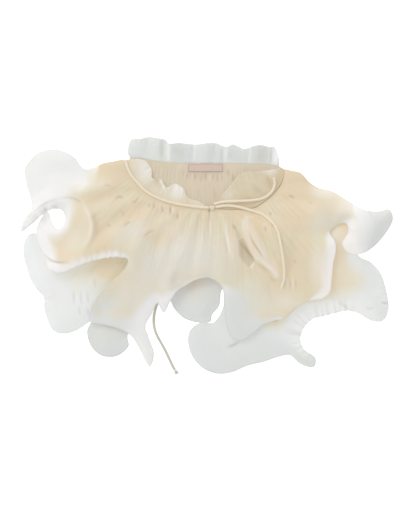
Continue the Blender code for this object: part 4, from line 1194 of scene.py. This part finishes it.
@dataclass(frozen=True)
class Organza:
    """Sheer crisp cloth: its colours as linear red, green and blue, its pleats and sheen; crease
    is the colour that painted shade multiplies in, and the emission is a painted glow that lifts
    the cloth's shade.
    """

    name: str
    cream: Colour = (0.680, 0.580, 0.430)
    moss: Colour = (0.650, 0.612, 0.470)
    white: Colour = (0.785, 0.768, 0.762)
    sheer: Colour = (0.622, 0.637, 0.626)
    # The colour that painted shade in creases, pleat lines and rims multiplies in
    crease: Colour = (0.600, 0.560, 0.510)
    pitch: float = 5.0
    roughness: float = 0.72
    sheen: float = 0.25
    gloss: float = 0.3
    # Painted glow: emission in the cloth's own colour that lifts its shade between layers
    painted_glow: float = 0.2
    glow: float = 0.8
    glow_depth: float = 0.0008

    def material(self, patterns: Patterns) -> bpy.types.Material:
        """The finish as a Blender material."""
        made, tree = new_material(self.name)
        pleats = tree.add(
            "ShaderNodeGroup", {"node_tree": patterns.pleats},
            Along=tree.value("pleat"), Reach=tree.value("reach"),
            Press=tree.value("press"), Pitch=self.pitch,
        ).outputs
        # The dye group paints shade and highlight from pleat lines, creases, patches and rims into
        # the colour
        dye = tree.add(
            "ShaderNodeGroup", {"node_tree": patterns.dye}, Cream=self.cream, Moss=self.moss,
            White=self.white, Sheer=self.sheer, Crease=self.crease,
            Dyed=tree.value("dyed"), Thin=tree.value("thin"), Rim=tree.value("rim"),
            Line=pleats["Line"], Fold=tree.value("crease"),
        ).outputs["Colour"]
        pressed = tree.add(
            "ShaderNodeBump", None, Strength=0.45, Distance=0.0006, Height=pleats["Height"],
            Normal=tree.weave(patterns.weave, threads=9000.0, strength=0.10, depth=0.00012),
        ).outputs["Normal"]
        # The emission is a painted glow in the cloth's own colour
        tree.shader(
            Base_Color=dye, Emission_Color=dye, Emission_Strength=self.painted_glow, Normal=pressed,
            Roughness=self.roughness, Sheen_Weight=self.sheen, Specular_IOR_Level=self.gloss,
            Subsurface_Weight=self.glow, Subsurface_Radius=(1.0, 1.0, 1.0),
            Subsurface_Scale=self.glow_depth,
        )
        return made


@dataclass(frozen=True)
class Twisted:
    """The drawcord: bias-cut cloth rolled into a round cord, with a slow twist."""

    name: str
    colour: Colour = (0.840, 0.760, 0.610)
    # Colour mixed in along the twist's grooves, a painted shade
    shade: Colour = (0.620, 0.510, 0.350)
    roughness: float = 0.6
    sheen: float = 0.2
    # Painted glow: emission in the cord's colour that lightens its shaded side
    painted_glow: float = 0.08

    def material(self, patterns: Patterns) -> bpy.types.Material:
        """The finish as a Blender material: slanting ribs on the cord's own map, with painted
        shade in their grooves and a faint painted glow.
        """
        made, tree = new_material(self.name)
        along_it, round_it = tree.map_axes()
        twist = tree.times(along_it, TWIST_TURN)
        slant = tree.maths("MULTIPLY_ADD", round_it, FULL_TURN, twist)
        rib = tree.maths("MULTIPLY_ADD", tree.maths("SINE", slant), 0.5, 0.5)
        bump = tree.add(
            "ShaderNodeBump", {"invert": True}, Strength=0.5, Distance=0.0003, Height=rib,
            Normal=tree.weave(patterns.weave, threads=9000.0, strength=0.15, depth=0.0001),
        ).outputs["Normal"]
        tree.shader(
            Base_Color=tree.mix(tree.times(rib, 0.16), self.colour, self.shade),
            Normal=bump, Emission_Color=self.colour, Emission_Strength=self.painted_glow,
            Roughness=self.roughness, Sheen_Weight=self.sheen,
        )
        return made


@dataclass(frozen=True)
class Tape:
    """The woven label: plain tape with a fine rib and a slightly darker border."""

    name: str
    colour: Colour = (0.750, 0.595, 0.510)
    border: Colour = (0.470, 0.320, 0.290)
    roughness: float = 0.55

    def material(self, patterns: Patterns) -> bpy.types.Material:
        """The finish as a Blender material."""
        made, tree = new_material(self.name)
        edge = tree.times(tree.value("rim"), 0.6)
        cloud = tree.cloud(scale=300.0)
        shade = tree.maths("MULTIPLY_ADD", cloud, 0.25, edge, clamp=True)
        tree.shader(
            Base_Color=tree.mix(shade, self.colour, self.border),
            Normal=tree.weave(patterns.weave, threads=6000.0, strength=0.3, depth=0.0001),
            Roughness=self.roughness,
        )
        return made


@dataclass
class Piece:
    """A visible piece that takes the place of one node of the CAD model."""

    name: str
    node: str
    slot: str
    finish: Organza | Twisted | Tape

    def place(
        self,
        patterns: Patterns,
        surface: tuple[Array, Array, dict[str, Array] | None, Array],
        thickness: float = 0.0,
    ) -> bpy.types.Object:
        """Puts the piece in place of its node.

        Args:
            patterns: the shared shader groups.
            surface: the points, the faces, the values at each point and the map places.
            thickness: how thick an open sheet becomes, upwards from its underside.

        Returns:
            The object.
        """
        made = put_mesh(self.name, *surface)
        if thickness:
            modifier = made.modifiers.new("Wall", "SOLIDIFY")
            modifier.thickness = thickness * MM
            modifier.offset = 1.0
        made.data.materials.append(self.finish.material(patterns))
        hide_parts(self.node)
        log.info("%s: %d faces", self.name, len(surface[1]))
        return made


@dataclass
class Cloth(Piece):
    """A sheet of organza, cut to an outline in plan, with a height at each place.

    flat is the cut's width and length and area its flat area, in metres, of what shows.
    """

    roots: tuple[Rows, ...]
    seam: Rows
    hem: tuple[Stretch, ...]
    posts: Rows
    flat: tuple[float, float]
    area: float
    rests_on: tuple[str, ...]
    folds: Rows = ()
    # Painted shade and highlight lines
    shade_lines: Rows = ()
    tones: Rows = ()
    # Patches of painted shade or highlight
    patches: Rows = ()
    spacing: float = 1.6
    calm: float = 12.0
    wave: float = 1.0
    pleat: float = 0.12
    gather: float = 0.42
    least: float = 0.3
    flat_back: bool = False

    def hem_line(self) -> Array:
        """The hem at even steps.

        The last column is the crinkles' turn: the length divided by the pitch, summed
        along the hem.
        """
        line = evenly(np.concatenate([stretch.table() for stretch in self.hem]), OUTLINE_STEP)
        turn = np.cumsum(np.gradient(run_length(line)) / line[:, Hem.PITCH])
        return np.column_stack([line, turn])

    def root_line(self) -> Array:
        """The root lines at even steps, one after the other."""
        root = np.concatenate([evenly(line, OUTLINE_STEP) for line in self.roots])
        apart = np.linalg.norm(np.diff(root[:, :2], axis=0), axis=1) > 1e-6
        return root[np.concatenate([[True], apart])]

    def edge(self, hem: Array) -> Array:
        """The cut edge in plan: the hem, pushed in and out by its crinkles."""
        chord = np.gradient(hem[:, :2], axis=0)
        normal = np.stack([-chord[:, 1], chord[:, 0]], axis=1)
        normal /= np.linalg.norm(normal, axis=1)[:, None]
        push = EDGE_PUSH * hem[:, Hem.CRIMP] * self.crinkle(hem[:, Hem.TURN])
        return hem[:, :2] + normal * push[:, None]

    def ground(self, points: Array) -> Array:
        """Height of the plate through the root, the hem before it rolls, and the posts."""
        rows = np.concatenate([stretch.table() for stretch in self.hem])
        posts = np.array(self.posts, float)
        corners = np.unique(np.concatenate([np.array(line, float) for line in self.roots]), axis=0)
        places = np.concatenate([corners[:, :2], rows[:, :2], posts[:, :2]])
        unrolled = rows[:, Hem.Z] + rows[:, Hem.DROP]
        heights = np.concatenate([corners[:, 2], unrolled, posts[:, 2]])
        return plate(places, heights, points)

    @staticmethod
    def spread(points: Array, hem: Array, columns: tuple[int, ...]) -> Array:
        """Hem values carried inwards without a break.

        Each point takes the mean of the hem's values, weighted by one over the square
        of squared distance plus a small spread.

        Args:
            points: places, as x and y.
            hem: the hem's rows.
            columns: which of their columns to carry.

        Returns:
            A row of values for each column.
        """
        few = hem[::4]

        def carry(part: Array) -> Array:
            """The weighted means, a row for each column."""
            squared = (part[:, :1] - few[:, 0]) ** 2 + (part[:, 1:2] - few[:, 1]) ** 2
            weight = 1 / (squared + SPREAD**2) ** 2
            return (weight @ few[:, list(columns)] / weight.sum(axis=1, keepdims=True)).T

        return in_chunks(points, carry)

    @staticmethod
    def crinkle(turn: Array) -> Array:
        """Uneven waves along the hem, one for each turn."""
        turn = 2 * np.pi * turn
        uneven = 0.75 + 0.35 * np.sin(turn / 2.7 + 0.5) * np.sin(turn / 6.1)
        return uneven * np.sin(turn + 1.1 * np.sin(turn / 3.3) + 0.8 * np.sin(turn / 5.1 + 1.0))

    def surface(self) -> tuple[Array, Array, dict[str, Array], Array]:
        """Works out the sheet.

        Height is the plate through root, hem and posts, less the roll of the hem
        (drop times one minus the sine of a quarter turn over the strip), plus folds,
        slow waves round the neck, pleats across the seam and crinkles near the hem.

        Returns:
            The points, the triangles, the values at each point and the map places.
        """
        hem, root = self.hem_line(), self.root_line()
        outline = np.concatenate([root[:, :2], self.edge(hem)[::-1]])
        points, faces = cut_lattice(outline, self.spacing)
        height = self.ground(points)

        to_hem, at = nearest(points, hem)
        steps = np.arange(len(hem))
        raised, strip, drop, crimp, deep, turns = (
            np.interp(at, steps, hem[:, column])
            for column in (Hem.Z, Hem.STRIP, Hem.DROP, Hem.CRIMP, Hem.DEEP, Hem.TURN)
        )
        drop = drop * (1 - HIGH_EASE * smooth(raised, *HIGH_BAND))
        height -= drop * (1 - np.sin(np.clip(to_hem / (ROLL_WIDTH * strip), 0, 1) * np.pi / 2))
        to_root, _ = nearest(points, root)
        seam = evenly(self.seam, OUTLINE_STEP)
        reach, at = nearest(points, seam)
        pleat = np.interp(at, np.arange(len(seam)), run_length(seam))

        folds = fold_height(points, self.folds)
        if self.flat_back:
            lobes = folds * np.clip(to_hem / LOBE_EASE, 0, 1)
            height = np.where(lobes > LEAST_LOBE, lobes, 0.0)
        else:
            turn = np.arctan2(points[:, 1] - NECK_MIDDLE_Y, points[:, 0])
            waves = folds + self.wave * np.sin(NECK_WAVES * turn)
            height += waves * np.clip(to_root / self.calm, 0, 1)

        fade, sheer = self.spread(points, hem, (Hem.FADE, Hem.SHEER))
        press = smooth(reach, *PRESS_START) * (1 - 0.5 * smooth(reach, *PRESS_EASE))
        press *= smooth(to_hem, 10, 0.6 * np.mean(fade) + 30)
        ripple = np.sin(2 * np.pi * pleat / self.finish.pitch) * self.pleat
        for pitch, slant, seed in GATHERS:
            ripple += self.gather * wander(pleat + slant * reach, pitch, seed)
        height += ripple * press * smooth(to_root, *ROOT_BAND)
        crinkles = crimp * self.crinkle(turns) * bell(to_hem, deep)
        height += crinkles
        # Painted shade in the crinkles' hollows and painted highlight on their crests
        crinkle_shading = HOLLOW_DARK * np.maximum(-crinkles, 0) - CREST_LIGHT * np.maximum(crinkles, 0)
        height = np.maximum(height, 0.0 if self.flat_back else self.least)

        # A hem with almost no white band is dyed up to its rim
        to_edge = 1.2 * (1 - smooth(fade, *NARROW_FADE))
        dyed = smooth(to_hem / np.maximum(fade, NARROW_FADE[0]) + to_edge, *DYE_BAND)
        values = {
            "dyed": shade_dye(points, dyed, self.tones),
            # Grey of a lone thin layer, partly the sheer cloth and partly painted shade
            "thin": sheer,
            # The hem's rim, which the shader darkens as painted shade
            "rim": bell(to_hem, RIM_REACH),
            "pleat": pleat,
            "reach": reach,
            "press": press,
            # Painted shade and highlight: shade lines, patches and crinkles
            "crease": fold_height(points, self.shade_lines) + patch_shading(points, self.patches)
            + crinkle_shading,
        }
        return np.column_stack([points, height]), faces, values, np.stack([pleat, reach], 1) * MM

    def build(self, patterns: Patterns) -> bpy.types.Object:
        """Makes the piece in place of its CAD node."""
        piece = self.place(patterns, self.surface(), thickness=WALL)
        return piece


@dataclass
class Frill(Piece):
    """A narrow frill, gathered at its root and waved along its free edge."""

    root: Rows
    rows: Rows
    lean: tuple[float, float]
    flat: tuple[float, float]
    rests_on: tuple[str, ...]
    across: int = 14
    down: int = 22
    ripple: float = 0.2
    curl: float = 0.8
    dyed: float = 0.0
    # Share of grey for a lone thin layer, partly the sheer cloth and partly painted shade
    thin: float = 0.75
    # Painted shade and highlight lines
    shade_lines: Rows = ()
    tones: Rows = ()

    def surface(self) -> tuple[Array, Array, dict[str, Array], Array]:
        """Works out the frill.

        Each line across runs from the root by a middle height to the free edge on a
        curve through the three; gathers fade out from the root, and the edge curls in
        small uneven waves.

        Returns:
            The points, the faces, the values at each point and the map places.
        """
        rows = np.array(self.rows, float)
        count = (len(rows) - 1) * self.across + 1
        share, edge_x, edge_y, edge_z, middle_z = between_rows(
            rows, np.linspace(0, len(rows) - 1, count)
        ).T
        top = along(self.root, share)
        top[:, :2] += self.lean
        edge = np.column_stack([edge_x, edge_y, edge_z])
        length = run_length(edge)
        middle = (top + edge) / 2
        middle[:, 2] = middle_z
        t = np.linspace(0, 1, self.down)[:, None, None]
        grid = curve(t, top, middle, edge)
        t = t[..., 0]
        gathers = np.sin(2 * np.pi * length / self.finish.pitch + 1.5 * np.sin(length / 9))
        grid[..., 2] += self.ripple * gathers * np.sin(np.pi * np.clip(t * 1.25, 0, 1))
        curls = wander(length, CURL_PITCH, 0.7)
        grid[..., 2] += self.curl * curls * smooth(t, 0.55, 1.0) * np.clip(grid[..., 2] / 3, 0, 1)
        grid[..., 2] = np.maximum(grid[..., 2], LEAST_FRILL)
        points = grid.reshape(-1, 3)
        faces = grid_faces(self.down, count)
        sample = points[faces[len(faces) // 2]]
        if np.cross(sample[1] - sample[0], sample[2] - sample[0])[2] < 0:
            faces = faces[:, ::-1]
        deep = np.linalg.norm(grid - grid[:1], axis=-1).ravel()
        away = np.linalg.norm(grid - grid[-1:], axis=-1).ravel()
        lengths = np.broadcast_to(length, grid.shape[:2]).ravel()
        values = {
            "dyed": shade_dye(points, self.dyed + 0.1 * (1 - smooth(deep, 0, 10)), self.tones),
            "thin": np.full(len(points), self.thin),
            # Grey of a lone thin layer, partly the sheer cloth and partly painted shade
            "rim": bell(away, 0.9),
            # The free edge, which the shader darkens as painted shade
            "pleat": lengths,
            "reach": deep + PAST_TICKS,
            "press": 0.25 * (1 - smooth(deep, 6, 22)),
            # Painted shade and highlight lines, and a painted highlight along the free edge
            "crease": fold_height(points, self.shade_lines) - 0.45 * bell(away, 1.3),
        }
        return points, faces, values, np.stack([lengths, deep], 1) * MM

    def build(self, patterns: Patterns) -> bpy.types.Object:
        """Makes the piece in place of its CAD node."""
        piece = self.place(patterns, self.surface(), thickness=FRILL_WALL)
        return piece


def unit(vectors: Array) -> Array:
    """Vectors, one or a row each, made one long."""
    return vectors / np.linalg.norm(vectors, axis=-1, keepdims=True)


def rings(ahead: Array, side: Array, sides: int) -> tuple[Array, Array]:
    """Rings that stand square to a line.

    Args:
        ahead: the line's direction at each of its points.
        side: a direction square to it.
        sides: points in a ring.

    Returns:
        The directions from the line to each ring's points, and their angles in turns.
    """
    other = np.cross(ahead, side)
    angle = np.linspace(0, 2 * np.pi, sides, endpoint=False)
    across, up = np.cos(angle)[None, :, None], np.sin(angle)[None, :, None]
    return across * side[:, None] + up * other[:, None], angle / (2 * np.pi)


def tube(line: Array, radii: Array, sides: int) -> tuple[Array, Array, None, Array]:
    """A round tube along a line, closed at both ends.

    At each point a ring of the given radius stands square to the line, turned as
    little as can be from the ring before.

    Args:
        line: the middle line's points.
        radii: the radius at each of them.
        sides: points in a ring.

    Returns:
        The points, the faces, no values, and the map places.
    """
    ahead = unit(np.gradient(line, axis=0))
    side = np.empty_like(line)
    side[0] = unit(np.cross(ahead[0], (0.0, 0.0, 1.0)))
    for i in range(1, len(line)):
        side[i] = unit(side[i - 1] - ahead[i] * (side[i - 1] @ ahead[i]))
    ring, turns = rings(ahead, side, sides)
    points = (line[:, None] + ring * radii[:, None, None]).reshape(-1, 3)
    faces = grid_faces(len(line), sides, closed=True)
    length = np.concatenate([[0], np.cumsum(np.linalg.norm(np.diff(line, axis=0), axis=1))])
    places = np.stack([np.repeat(length, sides) * MM, np.tile(turns, len(line))], axis=1)
    return points, faces, None, places


@dataclass
class Cord(Piece):
    """A length of the drawcord, with its ends rounded off."""

    route: Rows
    radius: float = CORD_RADIUS
    step: float = 1.4
    cap: float = 0.8
    sides: int = 20
    far_end: FarEnd | None = None
    with_pieces: tuple[str, ...] = ()

    def build(self, patterns: Patterns) -> bpy.types.Object:
        line = evenly(self.route, self.step)
        inner = line[1:-1]
        first, last = unit(line[1] - line[0]), unit(line[-2] - line[-1])
        turn = np.linspace(0, np.pi / 2, CAP_RINGS)
        inwards = (self.cap * (1 - np.cos(turn)))[:, None]
        whole = np.concatenate([line[0] + first * inwards, inner, line[-1] + last * inwards[::-1]])
        round_off = np.maximum(np.sin(turn), 0.02) * self.radius
        radii = np.concatenate([round_off, np.full(len(inner), self.radius), round_off[::-1]])
        piece = self.place(patterns, tube(whole, radii, self.sides))
        return piece


@dataclass
class Knot(Piece):
    """The knot at the front of the neck: three turns of cord pulled tight."""

    middle: tuple[float, float, float] = KNOT_MIDDLE
    radii: tuple[float, float, float] = KNOT_RADII
    strand: float = 1.15
    around: int = 96
    sides: int = 14

    def build(self, patterns: Patterns) -> bpy.types.Object:
        """Makes the piece: a strand carried round a trefoil, squeezed into the knot's size."""
        t = np.linspace(0, 2 * np.pi, self.around + 1)[:-1]
        line = np.stack(
            [np.sin(t) + 2 * np.sin(2 * t), np.cos(t) - 2 * np.cos(2 * t), -np.sin(3 * t)], axis=1
        )
        room = np.array(self.radii) - self.strand
        line = np.array(self.middle) + line * room / np.abs(line).max(axis=0)
        ahead = unit(np.roll(line, -1, axis=0) - np.roll(line, 1, axis=0))
        out = line - np.array(self.middle)
        side = unit(out - ahead * (out * ahead).sum(1)[:, None])
        ring, turns = rings(ahead, side, self.sides)
        points = (line[:, None] + ring * self.strand).reshape(-1, 3)
        faces = grid_faces(self.around, self.sides, closed=True, looped=True)
        places = np.stack([np.repeat(t * 4, self.sides) * MM, np.tile(turns, self.around)], 1)
        return self.place(patterns, (points, faces, None, places))


@dataclass
class CordEnd(Piece):
    """The flared end of the left tail, where the rolled cloth opens."""

    middle: tuple[float, float, float] = CORD_END_MIDDLE
    half: float = 2.8
    flare: float = 1.1
    squash: float = 0.75
    count: int = 15
    sides: int = 20

    def build(self, patterns: Patterns) -> bpy.types.Object:
        """Makes the piece: a short tube along the tail that widens and rounds over."""
        ahead = np.array(TAIL_LEFT[-1][:2], float) - np.array(TAIL_LEFT[-2][:2], float)
        ahead = np.append(unit(ahead), 0.0)
        at = np.linspace(-1, 1, self.count)
        line = np.array(self.middle) + ahead * (at * self.half)[:, None]
        radii = CORD_RADIUS + self.flare * smooth(at, -0.6, 0.5)
        for past in ((at - 0.55) / 0.46, (-0.8 - at) / 0.21):
            radii *= np.sqrt(np.clip(1 - np.clip(past, 0, 1) ** 2, 0.001, 1))
        line[:, 2] = np.maximum(line[:, 2], radii * self.squash + 0.02)
        points, faces, _, places = tube(line, radii, self.sides)
        level = np.repeat(line[:, 2], self.sides)
        points[:, 2] = (points[:, 2] - level) * self.squash + level
        return self.place(patterns, (points, faces, None, places))


@dataclass
class Label(Piece):
    """The bare woven label, tacked on at both ends below the neck seam."""

    size: tuple[float, float, float] = LABEL_SIZE
    middle: tuple[float, float] = LABEL_MIDDLE
    columns: int = 91
    rows: int = 25
    thickness: float = 0.3

    def build(self, patterns: Patterns) -> bpy.types.Object:
        """Makes the piece: a thin pillow of tape, its middle a little higher than its edges."""
        x, y = np.meshgrid(np.linspace(-1, 1, self.columns), np.linspace(-1, 1, self.rows))
        dome = (1 - x**20) * (1 - y**8)
        buckle = 0.18 * np.sin(7 * x + 0.6) * np.clip(1 - x**2, 0, 1)
        top = LABEL_FLOOR + 0.25 + (self.size[2] - 0.45) * dome + buckle * dome
        wide, tall = x * self.size[0] / 2, y * self.size[1] / 2
        grid = np.stack([self.middle[0] + wide, self.middle[1] + tall, top], -1)
        edge = np.minimum((1 - np.abs(x)) * self.size[0] / 2, (1 - np.abs(y)) * self.size[1] / 2)
        surface = (
            grid.reshape(-1, 3),
            grid_faces(self.rows, self.columns),
            {"rim": bell(edge, 0.8).ravel()},
            np.stack([wide, tall], -1).reshape(-1, 2) * MM,
        )
        piece = self.place(patterns, surface, self.thickness)
        return piece


@dataclass
class Studio:
    """The camera straight above, the pale floor and the soft light."""

    lens: float = 120.0
    sensor: float = 36.0
    image: tuple[int, int] = (414, 512)
    pixel: float = 1.3
    level: float = 14.0
    aim: tuple[float, float] = (-0.65, -0.65)
    room: float = 0.76
    lamp: float = 10.5
    lamp_size: float = 1.2
    lamp_place: tuple[float, float, float] = (-1.0, 1.2, 1.6)
    floor_half: float = 4000.0
    floor_tone: float = 0.93
    floor_glow: float = 0.48

    def camera(self) -> None:
        """Puts the camera so that a pixel covers its size in millimetres at the cloth's level."""
        data = bpy.data.cameras.new("camera")
        data.lens = self.lens
        data.sensor_width = self.sensor
        tall = self.image[1] * self.pixel
        distance = tall / 2 / (self.sensor / 2 / self.lens)
        made = bpy.data.objects.new("camera", data)
        made.location = (self.aim[0] * MM, self.aim[1] * MM, (distance + self.level) * MM)
        data.clip_end = 100.0
        bpy.context.scene.collection.objects.link(made)
        bpy.context.scene.camera = made

    def light(self) -> None:
        """A white room and one wide soft lamp over the left shoulder."""
        scene = bpy.context.scene
        world = bpy.data.worlds.new("room")
        scene.world = world
        world.use_nodes = True
        back = world.node_tree.nodes["Background"]
        back.inputs["Color"].default_value = (1.0, 1.0, 1.0, 1.0)
        back.inputs["Strength"].default_value = self.room
        data = bpy.data.lights.new("softbox", "AREA")
        data.shape = "DISK"
        data.size = self.lamp_size
        data.energy = self.lamp
        lamp = bpy.data.objects.new("softbox", data)
        lamp.location = self.lamp_place
        lamp.rotation_euler = (-lamp.location).to_track_quat("-Z", "Y").to_euler()
        scene.collection.objects.link(lamp)
        scene.view_settings.view_transform = "Standard"

    def floor(self) -> None:
        """A plain pale floor that is wide enough for every view."""
        half = self.floor_half * MM
        corners = [(-half, -half, 0), (half, -half, 0), (half, half, 0), (-half, half, 0)]
        mesh = bpy.data.meshes.new("floor")
        mesh.from_pydata(corners, [], [(0, 1, 2, 3)])
        made = bpy.data.objects.new("floor", mesh)
        bpy.context.scene.collection.objects.link(made)
        finish, tree = new_material("floor_paper")
        tree.shader(
            Base_Color=(self.floor_tone,) * 3, Roughness=0.9,
            Emission_Color=(1.0, 1.0, 1.0), Emission_Strength=self.floor_glow,
        )
        mesh.materials.append(finish)


@dataclass
class Collar:
    """The whole collar, piece by piece."""

    patterns: Patterns = field(default_factory=Patterns)

    def cords(self) -> list[bpy.types.Object]:
        """The drawcord: neck stretches, tails, knot and flared end."""
        end = CordEnd("cord_flared_end", "cord_end", "cord_end_cotton", self.grey_cord("cord_end"))
        knot = Knot("cord_knot_turns", "cord_knot", "cord_knot_cotton", Twisted("cord_knot"))
        made = [end.build(self.patterns), knot.build(self.patterns)]
        for name, node, route, far, pieces in (
            ("cord_left_neck", "cord_neck_left", NECK_CORD_LEFT, None, ()),
            ("cord_right_neck", "cord_neck_right", NECK_CORD_RIGHT, None, ()),
            ("cord_right_tail", "cord_tail_right", TAIL_RIGHT, FarEnd.BARE, ()),
            ("cord_left_tail", "cord_tail_left", TAIL_LEFT, FarEnd.KNOT, ("cord_flared_end",)),
        ):
            finish = self.grey_cord(name) if route is TAIL_LEFT else Twisted(name)
            cord = Cord(
                name, node, node + "_cotton", finish, route, far_end=far, with_pieces=pieces
            )
            made.append(cord.build(self.patterns))
        return made

    @staticmethod
    def grey_cord(name: str) -> Twisted:
        """The cord's finish where it lies off the cloth, duller."""
        # A fainter painted glow than the cord on the cloth
        return Twisted(name, colour=(0.600, 0.575, 0.500), shade=(0.430, 0.405, 0.340), painted_glow=0.06)

    @staticmethod
    def under(name: str) -> Organza:
        """The cloth's finish in the lower tier: darker colours with a stronger painted glow, which
        lifts the shade under the tier above.
        """
        return Organza(
            name, cream=(0.560, 0.480, 0.356), moss=(0.545, 0.514, 0.398),
            white=(0.584, 0.590, 0.585), sheer=(0.505, 0.518, 0.510), painted_glow=0.53,
        )

    def tiers(self) -> list[bpy.types.Object]:
        """The back panel and the two tiers of the front."""
        front = NECKLINE_LEFT + NECKLINE_RIGHT
        # The back panel's finish: a darker, greyer cream, painted shade for the panel that lies
        # lowest
        shaded_back_cloth = Organza("shaded_back_cloth", cream=(0.615, 0.545, 0.430), moss=(0.600, 0.550, 0.445))
        sheets = (
            Cloth(
                "back_panel", "back", "back_organza", shaded_back_cloth,
                roots=(BACK_NECKLINE,), seam=BACK_NECKLINE, hem=BACK_HEM, posts=BACK_POSTS,
                flat=(0.36, 0.27), area=0.070, rests_on=("floor",),
                folds=BACK_FOLDS, shade_lines=BACK_SHADE_LINES, flat_back=True, spacing=1.8, gather=0.3,
            ),
            Cloth(
                "lower_ruffle_left", "front_lower_left", "lower_left_organza",
                self.under("lower_left_cloth"),
                roots=(LOWER_LEFT_ROOT,), seam=front, hem=LOWER_LEFT_HEM, posts=LOWER_LEFT_POSTS,
                flat=(0.16, 0.16), area=0.018, rests_on=("back_panel",),
                shade_lines=LOWER_LEFT_SHADE_LINES, tones=LOWER_LEFT_TONES, calm=40.0,
            ),
            Cloth(
                "lower_ruffle_right", "front_lower_right", "lower_right_organza",
                self.under("lower_right_cloth"),
                roots=(LOWER_RIGHT_ROOT,), seam=front, hem=LOWER_RIGHT_HEM,
                posts=LOWER_RIGHT_POSTS, flat=(0.30, 0.20), area=0.034, rests_on=("back_panel",),
                shade_lines=LOWER_RIGHT_SHADE_LINES, tones=LOWER_RIGHT_TONES, calm=40.0,
            ),
            Cloth(
                "upper_ruffle", "front_upper", "upper_organza", Organza("upper_cloth"),
                roots=(NECKLINE_LEFT, SLIT_LEFT, SLIT_RIGHT, NECKLINE_RIGHT), seam=front,
                hem=FRONT_HEM, posts=FRONT_POSTS, flat=(0.50, 0.30), area=0.078,
                rests_on=("back_panel", "lower_ruffle_left", "lower_ruffle_right"),
                folds=FRONT_FOLDS, shade_lines=FRONT_SHADE_LINES, tones=FRONT_TONES,
                patches=FRONT_PATCHES, spacing=1.4,
            ),
        )
        return [sheet.build(self.patterns) for sheet in sheets]

    def frills(self) -> list[bpy.types.Object]:
        """The neck frill: flat behind the neck, turned in at both fronts."""
        made = []
        for side, root, rows, lean, flat, dyed, thin, cream in (
            ("back", BACK_NECKLINE, BACK_FRILL, (0, 0.1), (0.22, 0.03), 0.0, 1.0, Organza.cream),
            (
                "left", NECKLINE_LEFT, LEFT_FRILL, (0.6, 0.9), (0.15, 0.02), 0.85, 0.1,
                (0.645, 0.570, 0.440),
            ),
            (
                "right", NECKLINE_RIGHT, RIGHT_FRILL, (-0.6, 0.9), (0.13, 0.03), 1.0, 0.1,
                (0.605, 0.515, 0.375),
            ),
        ):
            frill = Frill(
                f"neck_frill_{side}", f"frill_{side}", f"frill_{side}_organza",
                Organza(f"neck_frill_{side}_cloth", cream=cream, pitch=3.6),
                root=root, rows=rows, lean=lean, flat=flat, rests_on=("back_panel",),
                dyed=dyed, thin=thin, shade_lines=FRILL_SHADE_LINES, tones=FRILL_LIGHT_AND_SHADE,
            )
            made.append(frill.build(self.patterns))
        return made

    def label(self) -> bpy.types.Object:
        """The bare label."""
        return Label("neck_label", "label", "label_tape", Tape("label_weave")).build(self.patterns)


def main() -> None:
    """Builds the studio and the collar."""
    logging.basicConfig(level=logging.INFO, format="%(name)s %(message)s")
    studio = Studio()
    studio.camera()
    collar = Collar()
    made = collar.cords()
    made += collar.tiers() + collar.frills() + [collar.label()]
    studio.light()
    studio.floor()
    log.info("%d pieces", len(made))
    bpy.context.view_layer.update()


if __name__ == "__main__":
    main()
